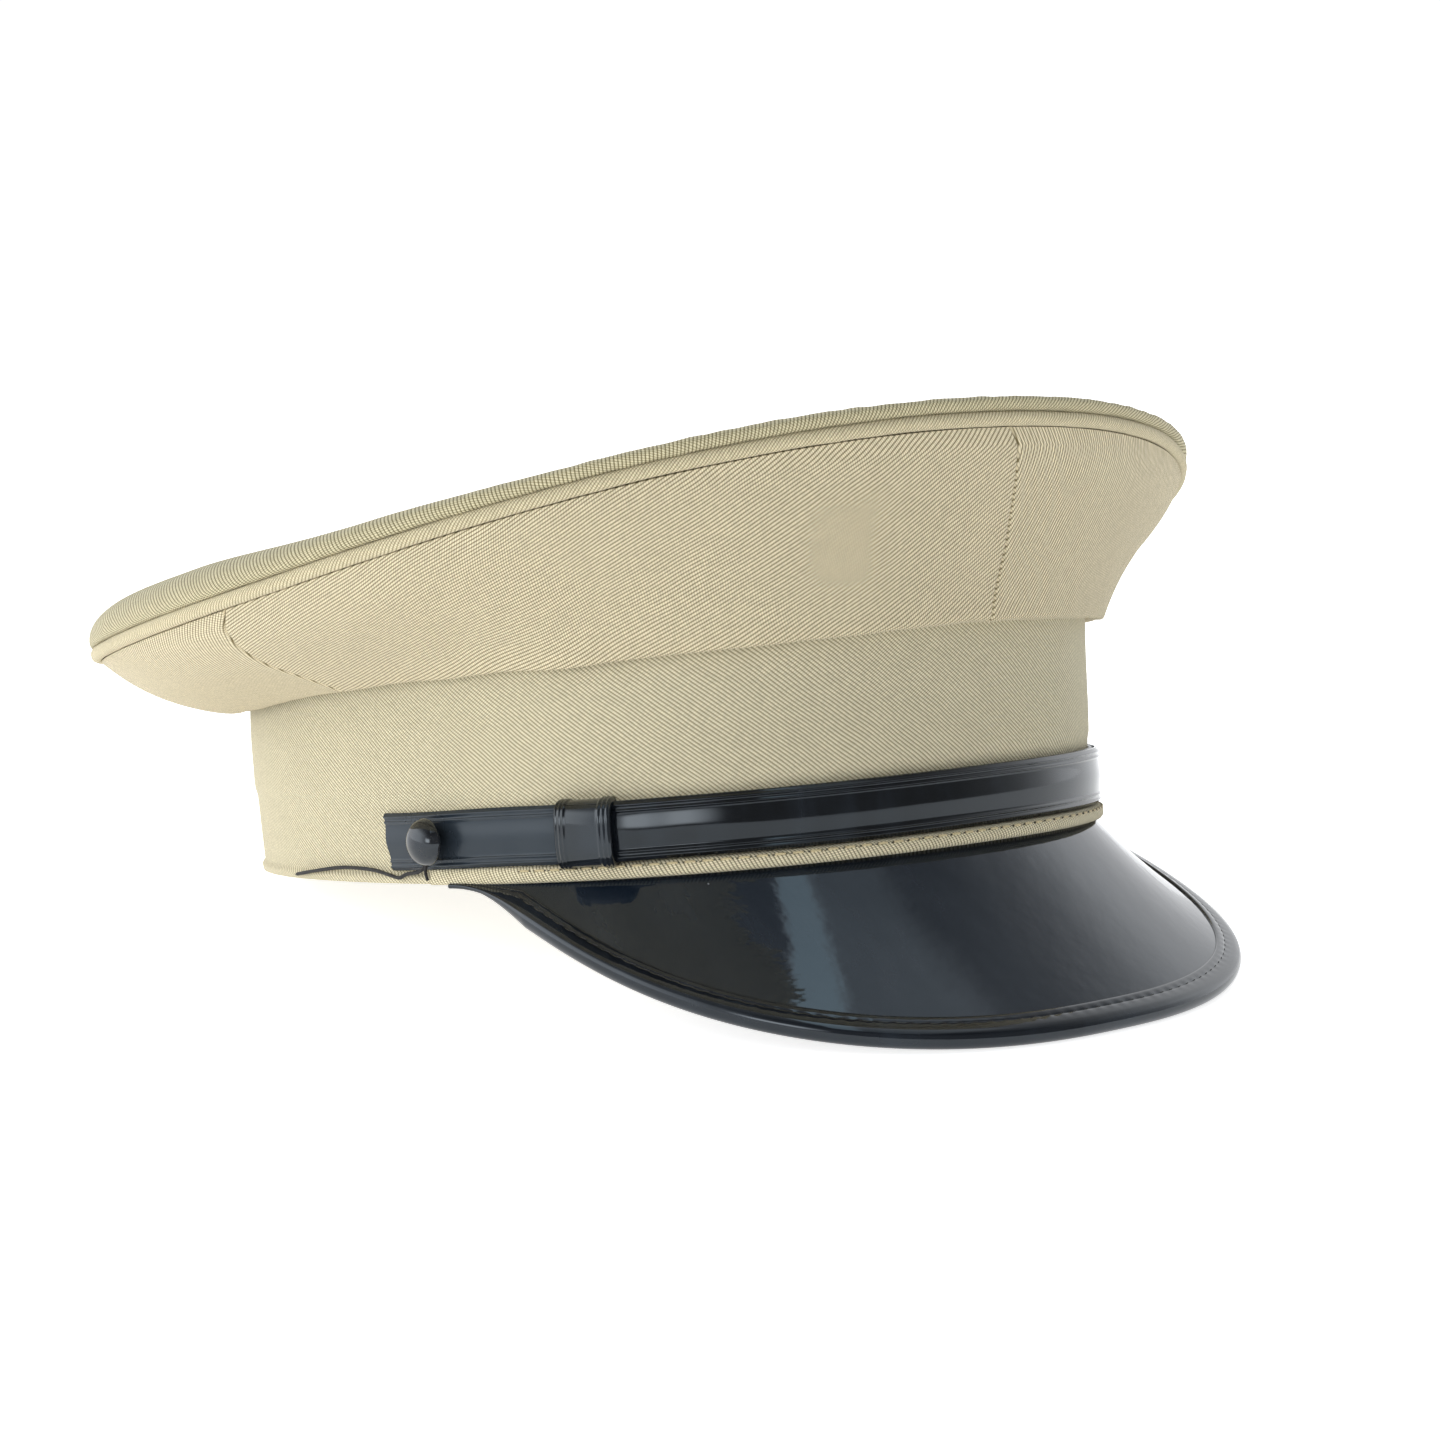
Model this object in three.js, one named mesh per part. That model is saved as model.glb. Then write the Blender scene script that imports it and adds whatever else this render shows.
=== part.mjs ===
import * as THREE from "three";

// Valet cap: a peaked cap with a wide saucer crown. It lies on the lip of its peak and the back of its band.
// Millimetres, +Z up. The front of the cap looks along -Y and the wearer's left is +X.
// Every piece is first made upright, with z = 0 at the bottom edge of the band, and the cap is tipped last.
// A turn is an angle round the cap seen from above: 0 at the front, 90 degrees at the wearer's left.

const DEGREE = Math.PI / 180;
const GAP = 0.3;

const BAND = {
  halfLength: 103,
  halfWidth: 91,
  squareness: 2.3,
  backWidening: 0.036,
  wall: 2.6,
  strapDent: 0.5,
  dentMargin: 1,
  dentFade: 3,
  frontRise: 1.9,
};

// How far the band's face stands out of its outline, by share of the band's height.
const BAND_FACE = [
  { share: 0, front: -1.1, back: -0.3 },
  { share: 0.2, front: -1.1, back: 0.9 },
  { share: 0.45, front: -0.9, back: 1.6 },
  { share: 0.75, front: -0.5, back: 1.4 },
  { share: 1, front: 0, back: 0.4 },
];
const HEM = { height: 2.4, outFront: 3.0, outSide: 0.7, footShare: 0.6 };

const RIM = {
  halfLength: 124.6,
  halfWidth: 133.8,
  squareness: 2.04,
  backWidening: 0,
  shiftBack: 5.3,
};
const RIM_HEIGHT = { middle: 61.5, tilt: 20.5, bend: 11.4, droop: -1.8 };
const WELT_RADIUS = 1.65;
const CLOTH = 1.6;

// Sections through the crown's side wall, one row per turn: the height of the seam on the band, how far
// the roll of cloth reaches out over it and up or down from it, and the slopes where it leaves the roll
// and where it meets the rim. Lift is the height of the rolled edge of the top panel over the rim.
const CROWN_SECTIONS = [
  { turn: 0, seam: 49.2, rollOut: 4.8, rollUp: 2.2, slopeLow: 84, slopeHigh: 78, lift: 7.4 },
  { turn: 45, seam: 47.6, rollOut: 4.6, rollUp: 1.8, slopeLow: 66, slopeHigh: 66, lift: 6.6 },
  { turn: 90, seam: 46.0, rollOut: 5.5, rollUp: -2.6, slopeLow: 26, slopeHigh: 46, lift: 9.8 },
  { turn: 120, seam: 45.6, rollOut: 7.5, rollUp: -7.0, slopeLow: 6, slopeHigh: 42, lift: 11.8 },
  { turn: 180, seam: 45.0, rollOut: 8.0, rollUp: -8.0, slopeLow: 4, slopeHigh: 40, lift: 12.0 },
];
const SEAM = { sideAtBand: 88.5, sideAtRim: 82, halfGap: 0.09, overBand: 0.6 };
const BEND = { underRoll: 0.5, wall: 0.36, firstOut: 0.25, firstUp: 0.9 };
const TOP = { rollShare: 0.16, dip: 2.6 };

const PEAK = {
  reachTurn: 69.4,
  tipLength: 1.6,
  length: 51.3,
  fullness: 2.4,
  sharpness: 1.6,
  slope: 44,
  slopeGain: -2,
  crown: 0.9,
  sheet: 1.8,
  flange: 2.2,
  seat: 0.4,
  taperLength: 9,
  tipTaper: 0.4,
};
const BINDING = {
  flap: 4.9,
  skin: 0.8,
  bead: 2.3,
  edgeInset: 1.2,
  tipInset: 0.9,
  foldCorner: 0.8,
};

const STRAP = { width: 12.7, thickness: 1, bottom: 3.8, endTurn: 83 };
const KEEPER = {
  rightTurn: 51.2,
  leftTurn: 62.8,
  spread: 7.5,
  wall: 0.8,
  strapInside: 3,
  liftTurns: 4,
  stepTurns: 7,
};
const BUTTON = {
  turn: 74,
  radius: 5.2,
  rim: 0.9,
  dome: 3.2,
  underside: 0.86,
  shank: 2.1,
  shankRadius: 1.6,
  tilt: 12,
};

const STEPS_ROUND = 72;

const KHAKI = { color: 0xd9c9a0, roughness: 0.9, metalness: 0 };
const KHAKI_WELT = { color: 0xd2c39c, roughness: 0.9, metalness: 0 };
const PATENT = { color: 0x0b0c10, roughness: 0.06, metalness: 0 };
const SATIN_BLACK = { color: 0x15161c, roughness: 0.35, metalness: 0 };

const { sin, cos, abs, max, min, atan2 } = Math;
const mix = THREE.MathUtils.lerp;
const flat = (x, y) => new THREE.Vector2(x, y);

// 1 at the front of the cap and 0 at the back.
const frontness = (turn) => (1 + cos(turn * DEGREE)) / 2;

// A point of an oval seen from above, grown outward.
function ovalPoint(oval, turn, out = 0) {
  const long = oval.halfLength + out;
  const wide = oval.halfWidth + out;
  const s = sin(turn * DEGREE);
  const c = cos(turn * DEGREE);
  const n = oval.squareness;
  const radius = (abs(s / wide) ** n + abs(c / long) ** n) ** (-1 / n);
  const y = -radius * c;
  return flat(radius * s * (1 + (oval.backWidening * y) / long), y + (oval.shiftBack ?? 0));
}

// The direction straight out of the band's outline.
function bandNormal(turn) {
  const along = ovalPoint(BAND, turn + 0.5).sub(ovalPoint(BAND, turn - 0.5)).normalize();
  return flat(along.y, -along.x);
}

// A point at a turn, given how far out of the band's outline and how high it lies.
function fromBand(turn, out, z) {
  const p = ovalPoint(BAND, turn).addScaledVector(bandNormal(turn), out);
  return new THREE.Vector3(p.x, p.y, z);
}

// Height of the rim where the cap is cut across at y.
function rimHeight(y) {
  const v = -(y - RIM.shiftBack) / RIM.halfLength;
  return RIM_HEIGHT.middle + RIM_HEIGHT.tilt * v + RIM_HEIGHT.bend * v ** 2 + RIM_HEIGHT.droop * v ** 3;
}

// A crown section's values at any turn, blended smoothly between the rows of the table.
function crownSection(turn) {
  const t = abs(((turn + 540) % 360) - 180);
  const k = max(1, CROWN_SECTIONS.findIndex((row) => row.turn >= t));
  const from = CROWN_SECTIONS[k - 1];
  const to = CROWN_SECTIONS[k];
  const share = THREE.MathUtils.smoothstep(t, from.turn, to.turn);
  const linear = (t - from.turn) / (to.turn - from.turn);
  const blend = (share + linear) / 2;
  return Object.fromEntries(Object.keys(from).map((key) => [key, mix(from[key], to[key], blend)]));
}

// A path moved sideways, to its left as it runs, by the wall's thickness.
function besidePath(path, distance) {
  return path.map((p, i) => {
    const before = path[max(0, i - 1)];
    const after = path[min(path.length - 1, i + 1)];
    const along = after.clone().sub(before).normalize();
    return flat(p.x - along.y * distance, p.y + along.x * distance);
  });
}

// A closed skin over a row of sections, each a loop of the same number of points.
// The ends are closed by joining the loop's first half to its second half.
function loft(sections, ring = false) {
  const count = sections[0].length;
  const corners = [];
  const triangle = (a, b, c) => {
    if (a.distanceTo(b) > 1e-6 && b.distanceTo(c) > 1e-6 && c.distanceTo(a) > 1e-6) {
      corners.push(a, b, c);
    }
  };
  const quad = (a, b, c, d) => {
    triangle(a, b, c);
    triangle(a, c, d);
  };
  const spans = ring ? sections.length : sections.length - 1;
  for (let i = 0; i < spans; i++) {
    const here = sections[i];
    const next = sections[(i + 1) % sections.length];
    for (let k = 0; k < count; k++) {
      const up = (k + 1) % count;
      quad(here[k], next[k], next[up], here[up]);
    }
  }
  if (!ring) {
    const first = sections[0];
    const last = sections[sections.length - 1];
    for (let k = 0; k < count / 2 - 1; k++) {
      quad(first[k], first[k + 1], first[count - 2 - k], first[count - 1 - k]);
      quad(last[k], last[count - 1 - k], last[count - 2 - k], last[k + 1]);
    }
  }
  let volume = 0;
  for (let i = 0; i < corners.length; i += 3) {
    volume += corners[i].dot(corners[i + 1].clone().cross(corners[i + 2]));
  }
  if (volume < 0) {
    corners.reverse();
  }
  const geometry = new THREE.BufferGeometry().setFromPoints(corners);
  geometry.computeVertexNormals();
  return geometry;
}

function turnsBetween(from, to, steps) {
  return Array.from({ length: steps + 1 }, (_, i) => mix(from, to, i / steps));
}

const turnsRound = turnsBetween(-180, 180, STEPS_ROUND).slice(0, -1);

// Height of the band's bottom edge, which lifts a little over the peak.
const bandBottom = (turn) => BAND.frontRise * max(0, cos(turn * DEGREE)) ** 2;

// How far the band's face stands out of its outline at a height.
function bandLean(turn, z) {
  const bottom = bandBottom(turn);
  const share = min(1, max(0, (z - bottom) / (crownSection(turn).seam - bottom)));
  const k = max(1, BAND_FACE.findIndex((row) => row.share >= share));
  const from = BAND_FACE[k - 1];
  const to = BAND_FACE[k];
  const up = (share - from.share) / (to.share - from.share);
  return mix(mix(from.back, to.back, up), mix(from.front, to.front, up), frontness(turn));
}

const strapBottom = (turn) => STRAP.bottom + bandBottom(turn);

function bandWall() {
  const sections = turnsRound.map((turn) => {
    const top = crownSection(turn).seam - GAP;
    const bottom = bandBottom(turn);
    const hem = mix(HEM.outSide, HEM.outFront, max(0, cos(turn * DEGREE)) ** 2);
    const strapTop = strapBottom(turn) + STRAP.width;
    const outer = [
      [bottom, hem * HEM.footShare],
      [bottom + HEM.height / 2, hem],
      [bottom + HEM.height, -BAND.strapDent],
      [strapTop + BAND.dentMargin, -BAND.strapDent],
      [strapTop + BAND.dentMargin + BAND.dentFade, 0],
      [top, 0],
    ];
    const point = (z, out) => fromBand(turn, bandLean(turn, z) + out, z);
    const inner = outer.map(([z]) => point(z, -BAND.wall)).reverse();
    return [...outer.map(([z, out]) => point(z, out)), ...inner];
  });
  return loft(sections, true);
}

// The outer face of the crown's side wall in one section, as distances out of the band's edge and
// heights over its seam. It runs out over the band, round the roll of cloth and up to the rim.
function crownProfile(turn) {
  const row = crownSection(turn);
  const seam = ovalPoint(BAND, turn);
  const rim = ovalPoint(RIM, turn);
  const reach = seam.distanceTo(rim);
  const rise = rimHeight(rim.y) - row.seam;
  const low = flat(cos(row.slopeLow * DEGREE), sin(row.slopeLow * DEGREE));
  const high = flat(cos(row.slopeHigh * DEGREE), sin(row.slopeHigh * DEGREE));
  const edge = flat(SEAM.overBand, 0);
  const roll = flat(row.rollOut, row.rollUp);
  const end = flat(reach, rise).addScaledVector(high, -WELT_RADIUS - GAP);
  end.add(flat(high.y, -high.x).multiplyScalar(CLOTH / 2));
  const rollHold = BEND.underRoll * edge.distanceTo(roll);
  const wallHold = BEND.wall * roll.distanceTo(end);
  const underRoll = new THREE.CubicBezierCurve(
    edge,
    flat(edge.x + BEND.firstOut * row.rollOut, BEND.firstUp * min(0, row.rollUp)),
    roll.clone().addScaledVector(low, -rollHold),
    roll,
  );
  const wall = new THREE.CubicBezierCurve(
    roll,
    roll.clone().addScaledVector(low, wallHold),
    end.clone().addScaledVector(high, -wallHold),
    end,
  );
  const path = [flat(-BAND.wall, 0), ...underRoll.getPoints(3), ...wall.getPoints(6).slice(1)];
  return { path, seam, out: rim.clone().sub(seam).normalize(), height: row.seam };
}

function crownWallPoint(turn, row, depth) {
  const { path, seam, out, height } = crownProfile(turn);
  const p = besidePath(path, depth)[row];
  return new THREE.Vector3(seam.x + out.x * p.x, seam.y + out.y * p.x, height + p.y);
}

// One quarter of the side wall, between two seams. A seam is given by its turns at the band and the rim.
function crownQuarter(fromSeam, toSeam) {
  const rows = crownProfile(0).path.length;
  const steps = Math.round(((toSeam.rim - fromSeam.rim) / 360) * STEPS_ROUND);
  const sections = turnsBetween(0, 1, steps).map((share) => {
    const turnAt = (row) => {
      const up = row / (rows - 1);
      const from = mix(fromSeam.band, fromSeam.rim, up) + SEAM.halfGap;
      const to = mix(toSeam.band, toSeam.rim, up) - SEAM.halfGap;
      return mix(from, to, share);
    };
    const rowPoint = (depth) => (_, row) => crownWallPoint(turnAt(row), row, depth);
    const face = (depth) => Array.from({ length: rows }, rowPoint(depth));
    return [...face(0), ...face(CLOTH).reverse()];
  });
  return loft(sections);
}

function crownWelt() {
  const sides = 6;
  const sections = turnsRound.map((turn) => {
    const rim = ovalPoint(RIM, turn);
    const out = rim.clone().sub(ovalPoint(BAND, turn)).normalize();
    return Array.from({ length: sides }, (_, k) => {
      const angle = ((k + 0.5) / sides) * 2 * Math.PI;
      const p = rim.clone().addScaledVector(out, WELT_RADIUS * cos(angle));
      return new THREE.Vector3(p.x, p.y, rimHeight(rim.y) + WELT_RADIUS * sin(angle));
    });
  });
  return loft(sections, true);
}

// The top panel: a rolled edge that rises from the rim, and a shallow dip towards the middle.
function topPanel() {
  const shares = [1, 0.992, 0.97, 0.93, 0.84, 0.6, 0.3, 0];
  const middle = rimHeight(RIM.shiftBack);
  const sections = turnsRound.map((turn) => {
    const { lift } = crownSection(turn);
    const rim = ovalPoint(RIM, turn);
    const centre = flat(0, RIM.shiftBack);
    const foot = WELT_RADIUS + GAP;
    const face = (depth) =>
      shares.map((share) => {
        const p = centre.clone().lerp(rim, share * (1 - depth / rim.length()));
        const roll = min(1, (1 - share) / TOP.rollShare);
        const dome = lift * Math.sqrt(1 - (1 - roll) ** 2);
        const inward = max(0, 1 - share / (1 - TOP.rollShare));
        const level = mix(dome - TOP.dip * inward, CROWN_SECTIONS[2].lift - TOP.dip, inward);
        const base = share === 0 ? middle : rimHeight(p.y);
        const sink = share === 1 ? 0 : depth;
        return new THREE.Vector3(p.x, p.y, base + foot + level - sink);
      });
    return [...face(0), ...face(CLOTH).reverse()];
  });
  return loft(sections, true);
}

// The peak's length and slope at a share of the way from its middle to either tip.
function peakShape(share) {
  const fullness = (1 - abs(share) ** PEAK.fullness) ** PEAK.sharpness;
  const length = mix(PEAK.tipLength, PEAK.length, fullness);
  const slope = (PEAK.slope + PEAK.slopeGain * share ** 2) * DEGREE;
  const taper = min(1, max(PEAK.tipTaper, length / PEAK.taperLength));
  const flap = min(BINDING.flap, length - BINDING.tipInset);
  return { length, slope, taper, thick: PEAK.sheet * taper, flap };
}

// A point on the peak's section: how far along its slope, and how far over its top face.
function peakPoint(share, along, over) {
  const { length, slope } = peakShape(share);
  const turn = share * PEAK.reachTurn;
  const raised = over + PEAK.crown * sin((Math.PI * min(along, length)) / length);
  const out = PEAK.seat + along * cos(slope) + raised * sin(slope);
  const z = bandBottom(turn) - PEAK.seat - along * sin(slope) + raised * cos(slope);
  return fromBand(turn, bandLean(turn, 0) + out, z);
}

const peakShares = turnsBetween(-1, 1, 40);

function peakSheet() {
  const sections = peakShares.map((share) => {
    const { length, taper, thick, flap } = peakShape(share);
    const turn = share * PEAK.reachTurn;
    const bare = length - flap;
    const rows = [0, bare / 3, (2 * bare) / 3, bare, length - BINDING.edgeInset * taper];
    const face = (over) => rows.map((along) => peakPoint(share, along, over));
    const flangeTop = bandBottom(turn) - PEAK.seat;
    const flange = (down) => fromBand(turn, bandLean(turn, 0) - PEAK.flange, flangeTop - down);
    return [flange(0), ...face(0), ...face(-thick).reverse(), flange(thick)];
  });
  return loft(sections);
}

// The binding folds round the peak's edge, with a rolled bead at the outside.
function peakBinding() {
  const sections = peakShares.map((share) => {
    const { length, taper, thick, flap } = peakShape(share);
    const bead = BINDING.bead * taper;
    const skin = BINDING.skin * taper;
    const middle = -thick / 2;
    const hug = thick / 2 + GAP;
    const inside = length - BINDING.edgeInset * taper + GAP;
    const beadPoint = (angle) => {
      const around = angle * DEGREE;
      return [length + bead * cos(around), middle + bead * sin(around)];
    };
    const outer = [
      [length - flap, middle + hug + skin],
      ...[90, 45, 0, -45, -90].map(beadPoint),
      [length - flap, middle - hug - skin],
    ];
    const inner = [
      [length - flap, middle + hug],
      [inside - GAP, middle + hug],
      [inside, middle + hug * BINDING.foldCorner],
      [inside, middle],
      [inside, middle - hug * BINDING.foldCorner],
      [inside - GAP, middle - hug],
      [length - flap, middle - hug],
    ];
    return [...outer, ...inner.reverse()].map(([along, over]) => peakPoint(share, along, over));
  });
  return loft(sections);
}

// How far the inner face of each strap layer stands out of the leaning band.
const strapLayer = {
  lower: (turn) => {
    const away = min(abs(turn + KEEPER.rightTurn), abs(turn - KEEPER.leftTurn));
    const room = KEEPER.wall + GAP;
    const stepEnd = KEEPER.liftTurns + KEEPER.stepTurns;
    const fall = THREE.MathUtils.smoothstep(away, KEEPER.liftTurns, stepEnd);
    return GAP - BAND.strapDent + room * (1 - fall);
  },
  upper: (turn) => strapLayer.lower(turn) + STRAP.thickness + GAP,
};
strapLayer.left = (turn) => {
  const away = turn - KEEPER.leftTurn - KEEPER.spread / 2;
  const past = THREE.MathUtils.smoothstep(away, 0.5, KEEPER.stepTurns);
  return mix(strapLayer.upper(turn), strapLayer.lower(turn), past);
};

function strapPiece(fromTurn, toTurn, layer) {
  const sections = turnsBetween(fromTurn, toTurn, 40).map((turn) => {
    const bottom = strapBottom(turn);
    const inner = layer(turn);
    const corner = (up, out) => {
      const z = bottom + up * STRAP.width;
      return fromBand(turn, bandLean(turn, z) + inner + out, z);
    };
    return [corner(0, STRAP.thickness), corner(1, STRAP.thickness), corner(1, 0), corner(0, 0)];
  });
  return loft(sections);
}

// A sleeve round both layers of the strap, made as a flat hoop swept round the strap's section.
function keeperLoop(middle) {
  const turns = [middle - KEEPER.spread / 2, middle, middle + KEEPER.spread / 2];
  const back = strapLayer.lower(turns[1]) - GAP;
  const depth = 2 * STRAP.thickness + 3 * GAP;
  const height = STRAP.width + 2 * GAP;
  const rear = [[0, 0], [0, 0.5], [0, 1], [0.5, 1]];
  const front = [[1, 1], [1, 0.75], [1, 0.5], [1, 0.25], [1, 0], [0.5, 0]];
  const sections = [...rear, ...front].map(([across, up]) => {
    const at = (turn, grow) => {
      const bottom = strapBottom(turn) - GAP;
      const z = bottom + up * height + grow * (2 * up - 1) * KEEPER.wall;
      const out = back + across * depth + grow * (2 * across - 1) * KEEPER.wall;
      return fromBand(turn, bandLean(turn, z) + out, z);
    };
    return [...turns.map((turn) => at(turn, 0)), ...turns.map((turn) => at(turn, 1)).reverse()];
  });
  return loft(sections, true);
}

function buttonGeometry() {
  const domePoints = [0, 15, 30, 45, 60, 75, 90].map((angle) => {
    const high = BUTTON.shank + BUTTON.rim + BUTTON.dome * sin(angle * DEGREE);
    return flat(BUTTON.radius * cos(angle * DEGREE), high);
  });
  domePoints[domePoints.length - 1].x = 0;
  const profile = [
    flat(0, 0),
    flat(BUTTON.shankRadius, 0),
    flat(BUTTON.shankRadius, BUTTON.shank),
    flat(BUTTON.radius * BUTTON.underside, BUTTON.shank),
    flat(BUTTON.radius, BUTTON.shank + BUTTON.rim / 2),
    ...domePoints,
  ];
  return new THREE.LatheGeometry(profile, 16);
}

const cap = new THREE.Group();

function addPiece(name, geometry, look) {
  const mesh = new THREE.Mesh(geometry, new THREE.MeshStandardMaterial(look));
  mesh.name = name;
  cap.add(mesh);
  return mesh;
}

function addButton(name, side) {
  const mesh = addPiece(name, buttonGeometry(), SATIN_BLACK);
  const turn = side * BUTTON.turn;
  const layer = side > 0 ? strapLayer.left : strapLayer.lower;
  const z = strapBottom(turn) + STRAP.width / 2;
  const foot = bandLean(turn, z) + layer(turn) + STRAP.thickness + GAP;
  mesh.position.copy(fromBand(turn, foot, z));
  const normal = bandNormal(turn).rotateAround(flat(0, 0), side * BUTTON.tilt * DEGREE);
  const outward = new THREE.Vector3(normal.x, normal.y, 0);
  mesh.quaternion.setFromUnitVectors(new THREE.Vector3(0, 1, 0), outward);
}

const seams = {
  front: { band: 0, rim: 0 },
  left: { band: SEAM.sideAtBand, rim: SEAM.sideAtRim },
  right: { band: -SEAM.sideAtBand, rim: -SEAM.sideAtRim },
  backFromLeft: { band: 180, rim: 180 },
  backFromRight: { band: -180, rim: -180 },
};

addPiece("crown_top", topPanel(), KHAKI);
addPiece("crown_welt", crownWelt(), KHAKI_WELT);
addPiece("quarter_front_left", crownQuarter(seams.front, seams.left), KHAKI);
addPiece("quarter_front_right", crownQuarter(seams.right, seams.front), KHAKI);
addPiece("quarter_back_left", crownQuarter(seams.left, seams.backFromLeft), KHAKI);
addPiece("quarter_back_right", crownQuarter(seams.backFromRight, seams.right), KHAKI);
addPiece("band", bandWall(), KHAKI);
addPiece("peak", peakSheet(), PATENT);
const binding = addPiece("peak_binding", peakBinding(), PATENT);

const hiddenEnd = KEEPER.strapInside - KEEPER.spread / 2;
const rightStrap = strapPiece(-STRAP.endTurn, KEEPER.leftTurn + hiddenEnd, strapLayer.lower);
const leftStrap = strapPiece(-KEEPER.rightTurn - hiddenEnd, STRAP.endTurn, strapLayer.left);
addPiece("strap_right", rightStrap, SATIN_BLACK);
addPiece("strap_left", leftStrap, SATIN_BLACK);
addPiece("keeper_right", keeperLoop(-KEEPER.rightTurn), SATIN_BLACK);
addPiece("keeper_left", keeperLoop(KEEPER.leftTurn), SATIN_BLACK);
addButton("button_right", -1);
addButton("button_left", 1);

// Tipped nose up until the peak's lip and the back of the band stand on one level.
function restingPitch() {
  const back = fromBand(180, bandLean(180, 0) + HEM.outSide * HEM.footShare, 0).y;
  const spots = binding.geometry.attributes.position;
  let pitch = 0;
  for (let i = 0; i < spots.count; i++) {
    pitch = max(pitch, atan2(-spots.getZ(i), back - spots.getY(i)));
  }
  return pitch;
}
cap.rotation.x = -restingPitch();

const part = new THREE.Group();
part.add(cap);
part.updateMatrixWorld(true);
const box = new THREE.Box3().setFromObject(part, true);
const centre = box.getCenter(new THREE.Vector3());
cap.position.set(-centre.x, -centre.y, -box.min.z);

export default part;
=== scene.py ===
from math import cos, exp, pi, radians, sin, sqrt

import bmesh
import bpy
from mathutils import Matrix, Vector, noise


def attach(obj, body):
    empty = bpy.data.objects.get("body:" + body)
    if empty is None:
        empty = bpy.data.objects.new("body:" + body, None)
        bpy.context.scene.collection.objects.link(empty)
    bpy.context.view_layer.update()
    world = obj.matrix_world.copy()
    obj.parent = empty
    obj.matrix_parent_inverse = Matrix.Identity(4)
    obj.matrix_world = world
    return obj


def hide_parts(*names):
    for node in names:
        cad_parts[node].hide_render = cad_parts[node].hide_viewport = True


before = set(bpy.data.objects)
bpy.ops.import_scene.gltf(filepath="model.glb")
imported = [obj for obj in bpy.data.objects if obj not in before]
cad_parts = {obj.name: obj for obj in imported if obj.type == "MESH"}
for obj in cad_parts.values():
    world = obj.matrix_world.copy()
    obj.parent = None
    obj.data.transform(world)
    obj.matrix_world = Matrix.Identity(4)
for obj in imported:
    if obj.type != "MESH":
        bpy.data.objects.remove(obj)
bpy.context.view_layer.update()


def table(columns, *rows):
    """Rows of numbers, each number under its column's name."""
    return [dict(zip(columns.split(), row)) for row in rows]


# Sizes in millimetres, for the cap standing upright with z = 0 at the bottom edge of its band.
# A turn is an angle seen from above: 0 at the front, 90 degrees at the wearer's left.
TIPPED_UP = 8.721319
STANDS_AT = (0, 3.18097, 15.63594)
STANDING = Matrix.Translation(STANDS_AT) @ Matrix.Rotation(radians(-TIPPED_UP), 4, "X")

BAND = {"half_length": 103, "half_width": 91, "squareness": 2.3, "back_widening": 0.036, "shift": 0}
BAND_WALL = 2.6
FRONT_RISE = 1.9
STRAP_DENT = 0.5
BAND_FACE = table(
    "share front back",
    (0, -1.1, -0.2),
    (0.2, -1.1, 0.4),
    (0.45, -0.9, 0.7),
    (0.75, -0.5, 0.6),
    (1, 0, 0),
)
HEM_FRONT, HEM_SIDE, HEM_HEIGHT = 3.0, 0.3, 2.4

RIM = {"half_length": 124.6, "half_width": 133.3, "squareness": 2.04, "back_widening": 0, "shift": 5.3}
RIM_MIDDLE, RIM_TILT, RIM_BEND, RIM_DROOP, RIM_SAG = 61.5, 20.5, 11.4, -1.8, 1.1
PIPING = 1.6
CLOTH = 1.5

# The crown's side wall, by turn: height of its seam on the band, reach and rise of its roll of cloth,
# slopes at the roll and at the rim, and height of the top panel's rolled edge over the rim.
CROWN = table(
    "turn seam out up low high lift",
    (0, 49.2, 4.8, 1.5, 84, 78, 5.5),
    (45, 47.6, 4.6, -0.3, 66, 66, 5.3),
    (66, 46.8, 5.05, -1.5, 45, 56, 7.4),
    (90, 46.0, 5.5, -2.6, 26, 46, 11.0),
    (120, 45.6, 7.5, -7.0, 6, 42, 13.0),
    (180, 45.0, 8.0, -8.0, 4, 40, 13.8),
)
# The crown's seams: a turn for each share of the way up the wall.
FRONT_SEAM = table("up turn", (0, 1.2), (0.27, 1.5), (0.5, 2.2), (0.78, 1.7), (0.93, 1.2), (1, -0.3))
LEFT_SEAM = table("up turn", (0, 88.4), (0.35, 88.2), (0.57, 87.0), (0.81, 84.7), (0.92, 83.3), (1, 81.2))
BACK_SEAM = table("up turn", (0, 180), (1, 180))
# Soft folds of the side wall over the band at the wearer's right: how far out and up, in mm.
FOLDS = table(
    "turn width out up",
    (-76, 5, 0.5, 0),
    (-66, 6, -0.4, 0),
    (-61, 5, 0, 0.5),
    (-51, 6, 0, -0.8),
)
# The sunk line of a sewn seam, the raised cloth beside it, and how far from the seam the wall has points.
SEAM_GROOVE, SEAM_LIP = {"depth": 0.75, "width": 0.26}, {"height": 0.1, "at": 1.5, "width": 1.0}
SEAM_STEPS = (0, 0.12, 0.24, 0.34, 0.44, 0.54, 0.66, 0.8, 1.2, 1.8, 2.6, 3.6)
# A quarter's flat cloth: its width, the width of its lower edge and the angle that it spans.
QUARTER_WIDTH, QUARTER_ARC, QUARTER_FAN = 150, 152, 26
# The wall's mean radius below and above, and the height over which its top edge is drawn in.
FOOT_RADIUS, RIM_RADIUS = 95, 131
DRAWN_HEIGHT = 14
CORD_GAP, TUCKED_UNDER = 0.12, 0.75

ROLL_WIDTH, TOP_DIP, TOP_MIDDLE = 20, 2.6, 8.6
ROLL_FOOT_IN, ROLL_FOOT_UP, ROLL_NECK, ROLL_TUCK, ROLL_OUT, ROLL_WAIST = 0.9, 1.05, 0.5, 0.6, 1.7, 3.2
# Radius of the flat middle of the top panel.
MIDDLE_RING = 0.8

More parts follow.
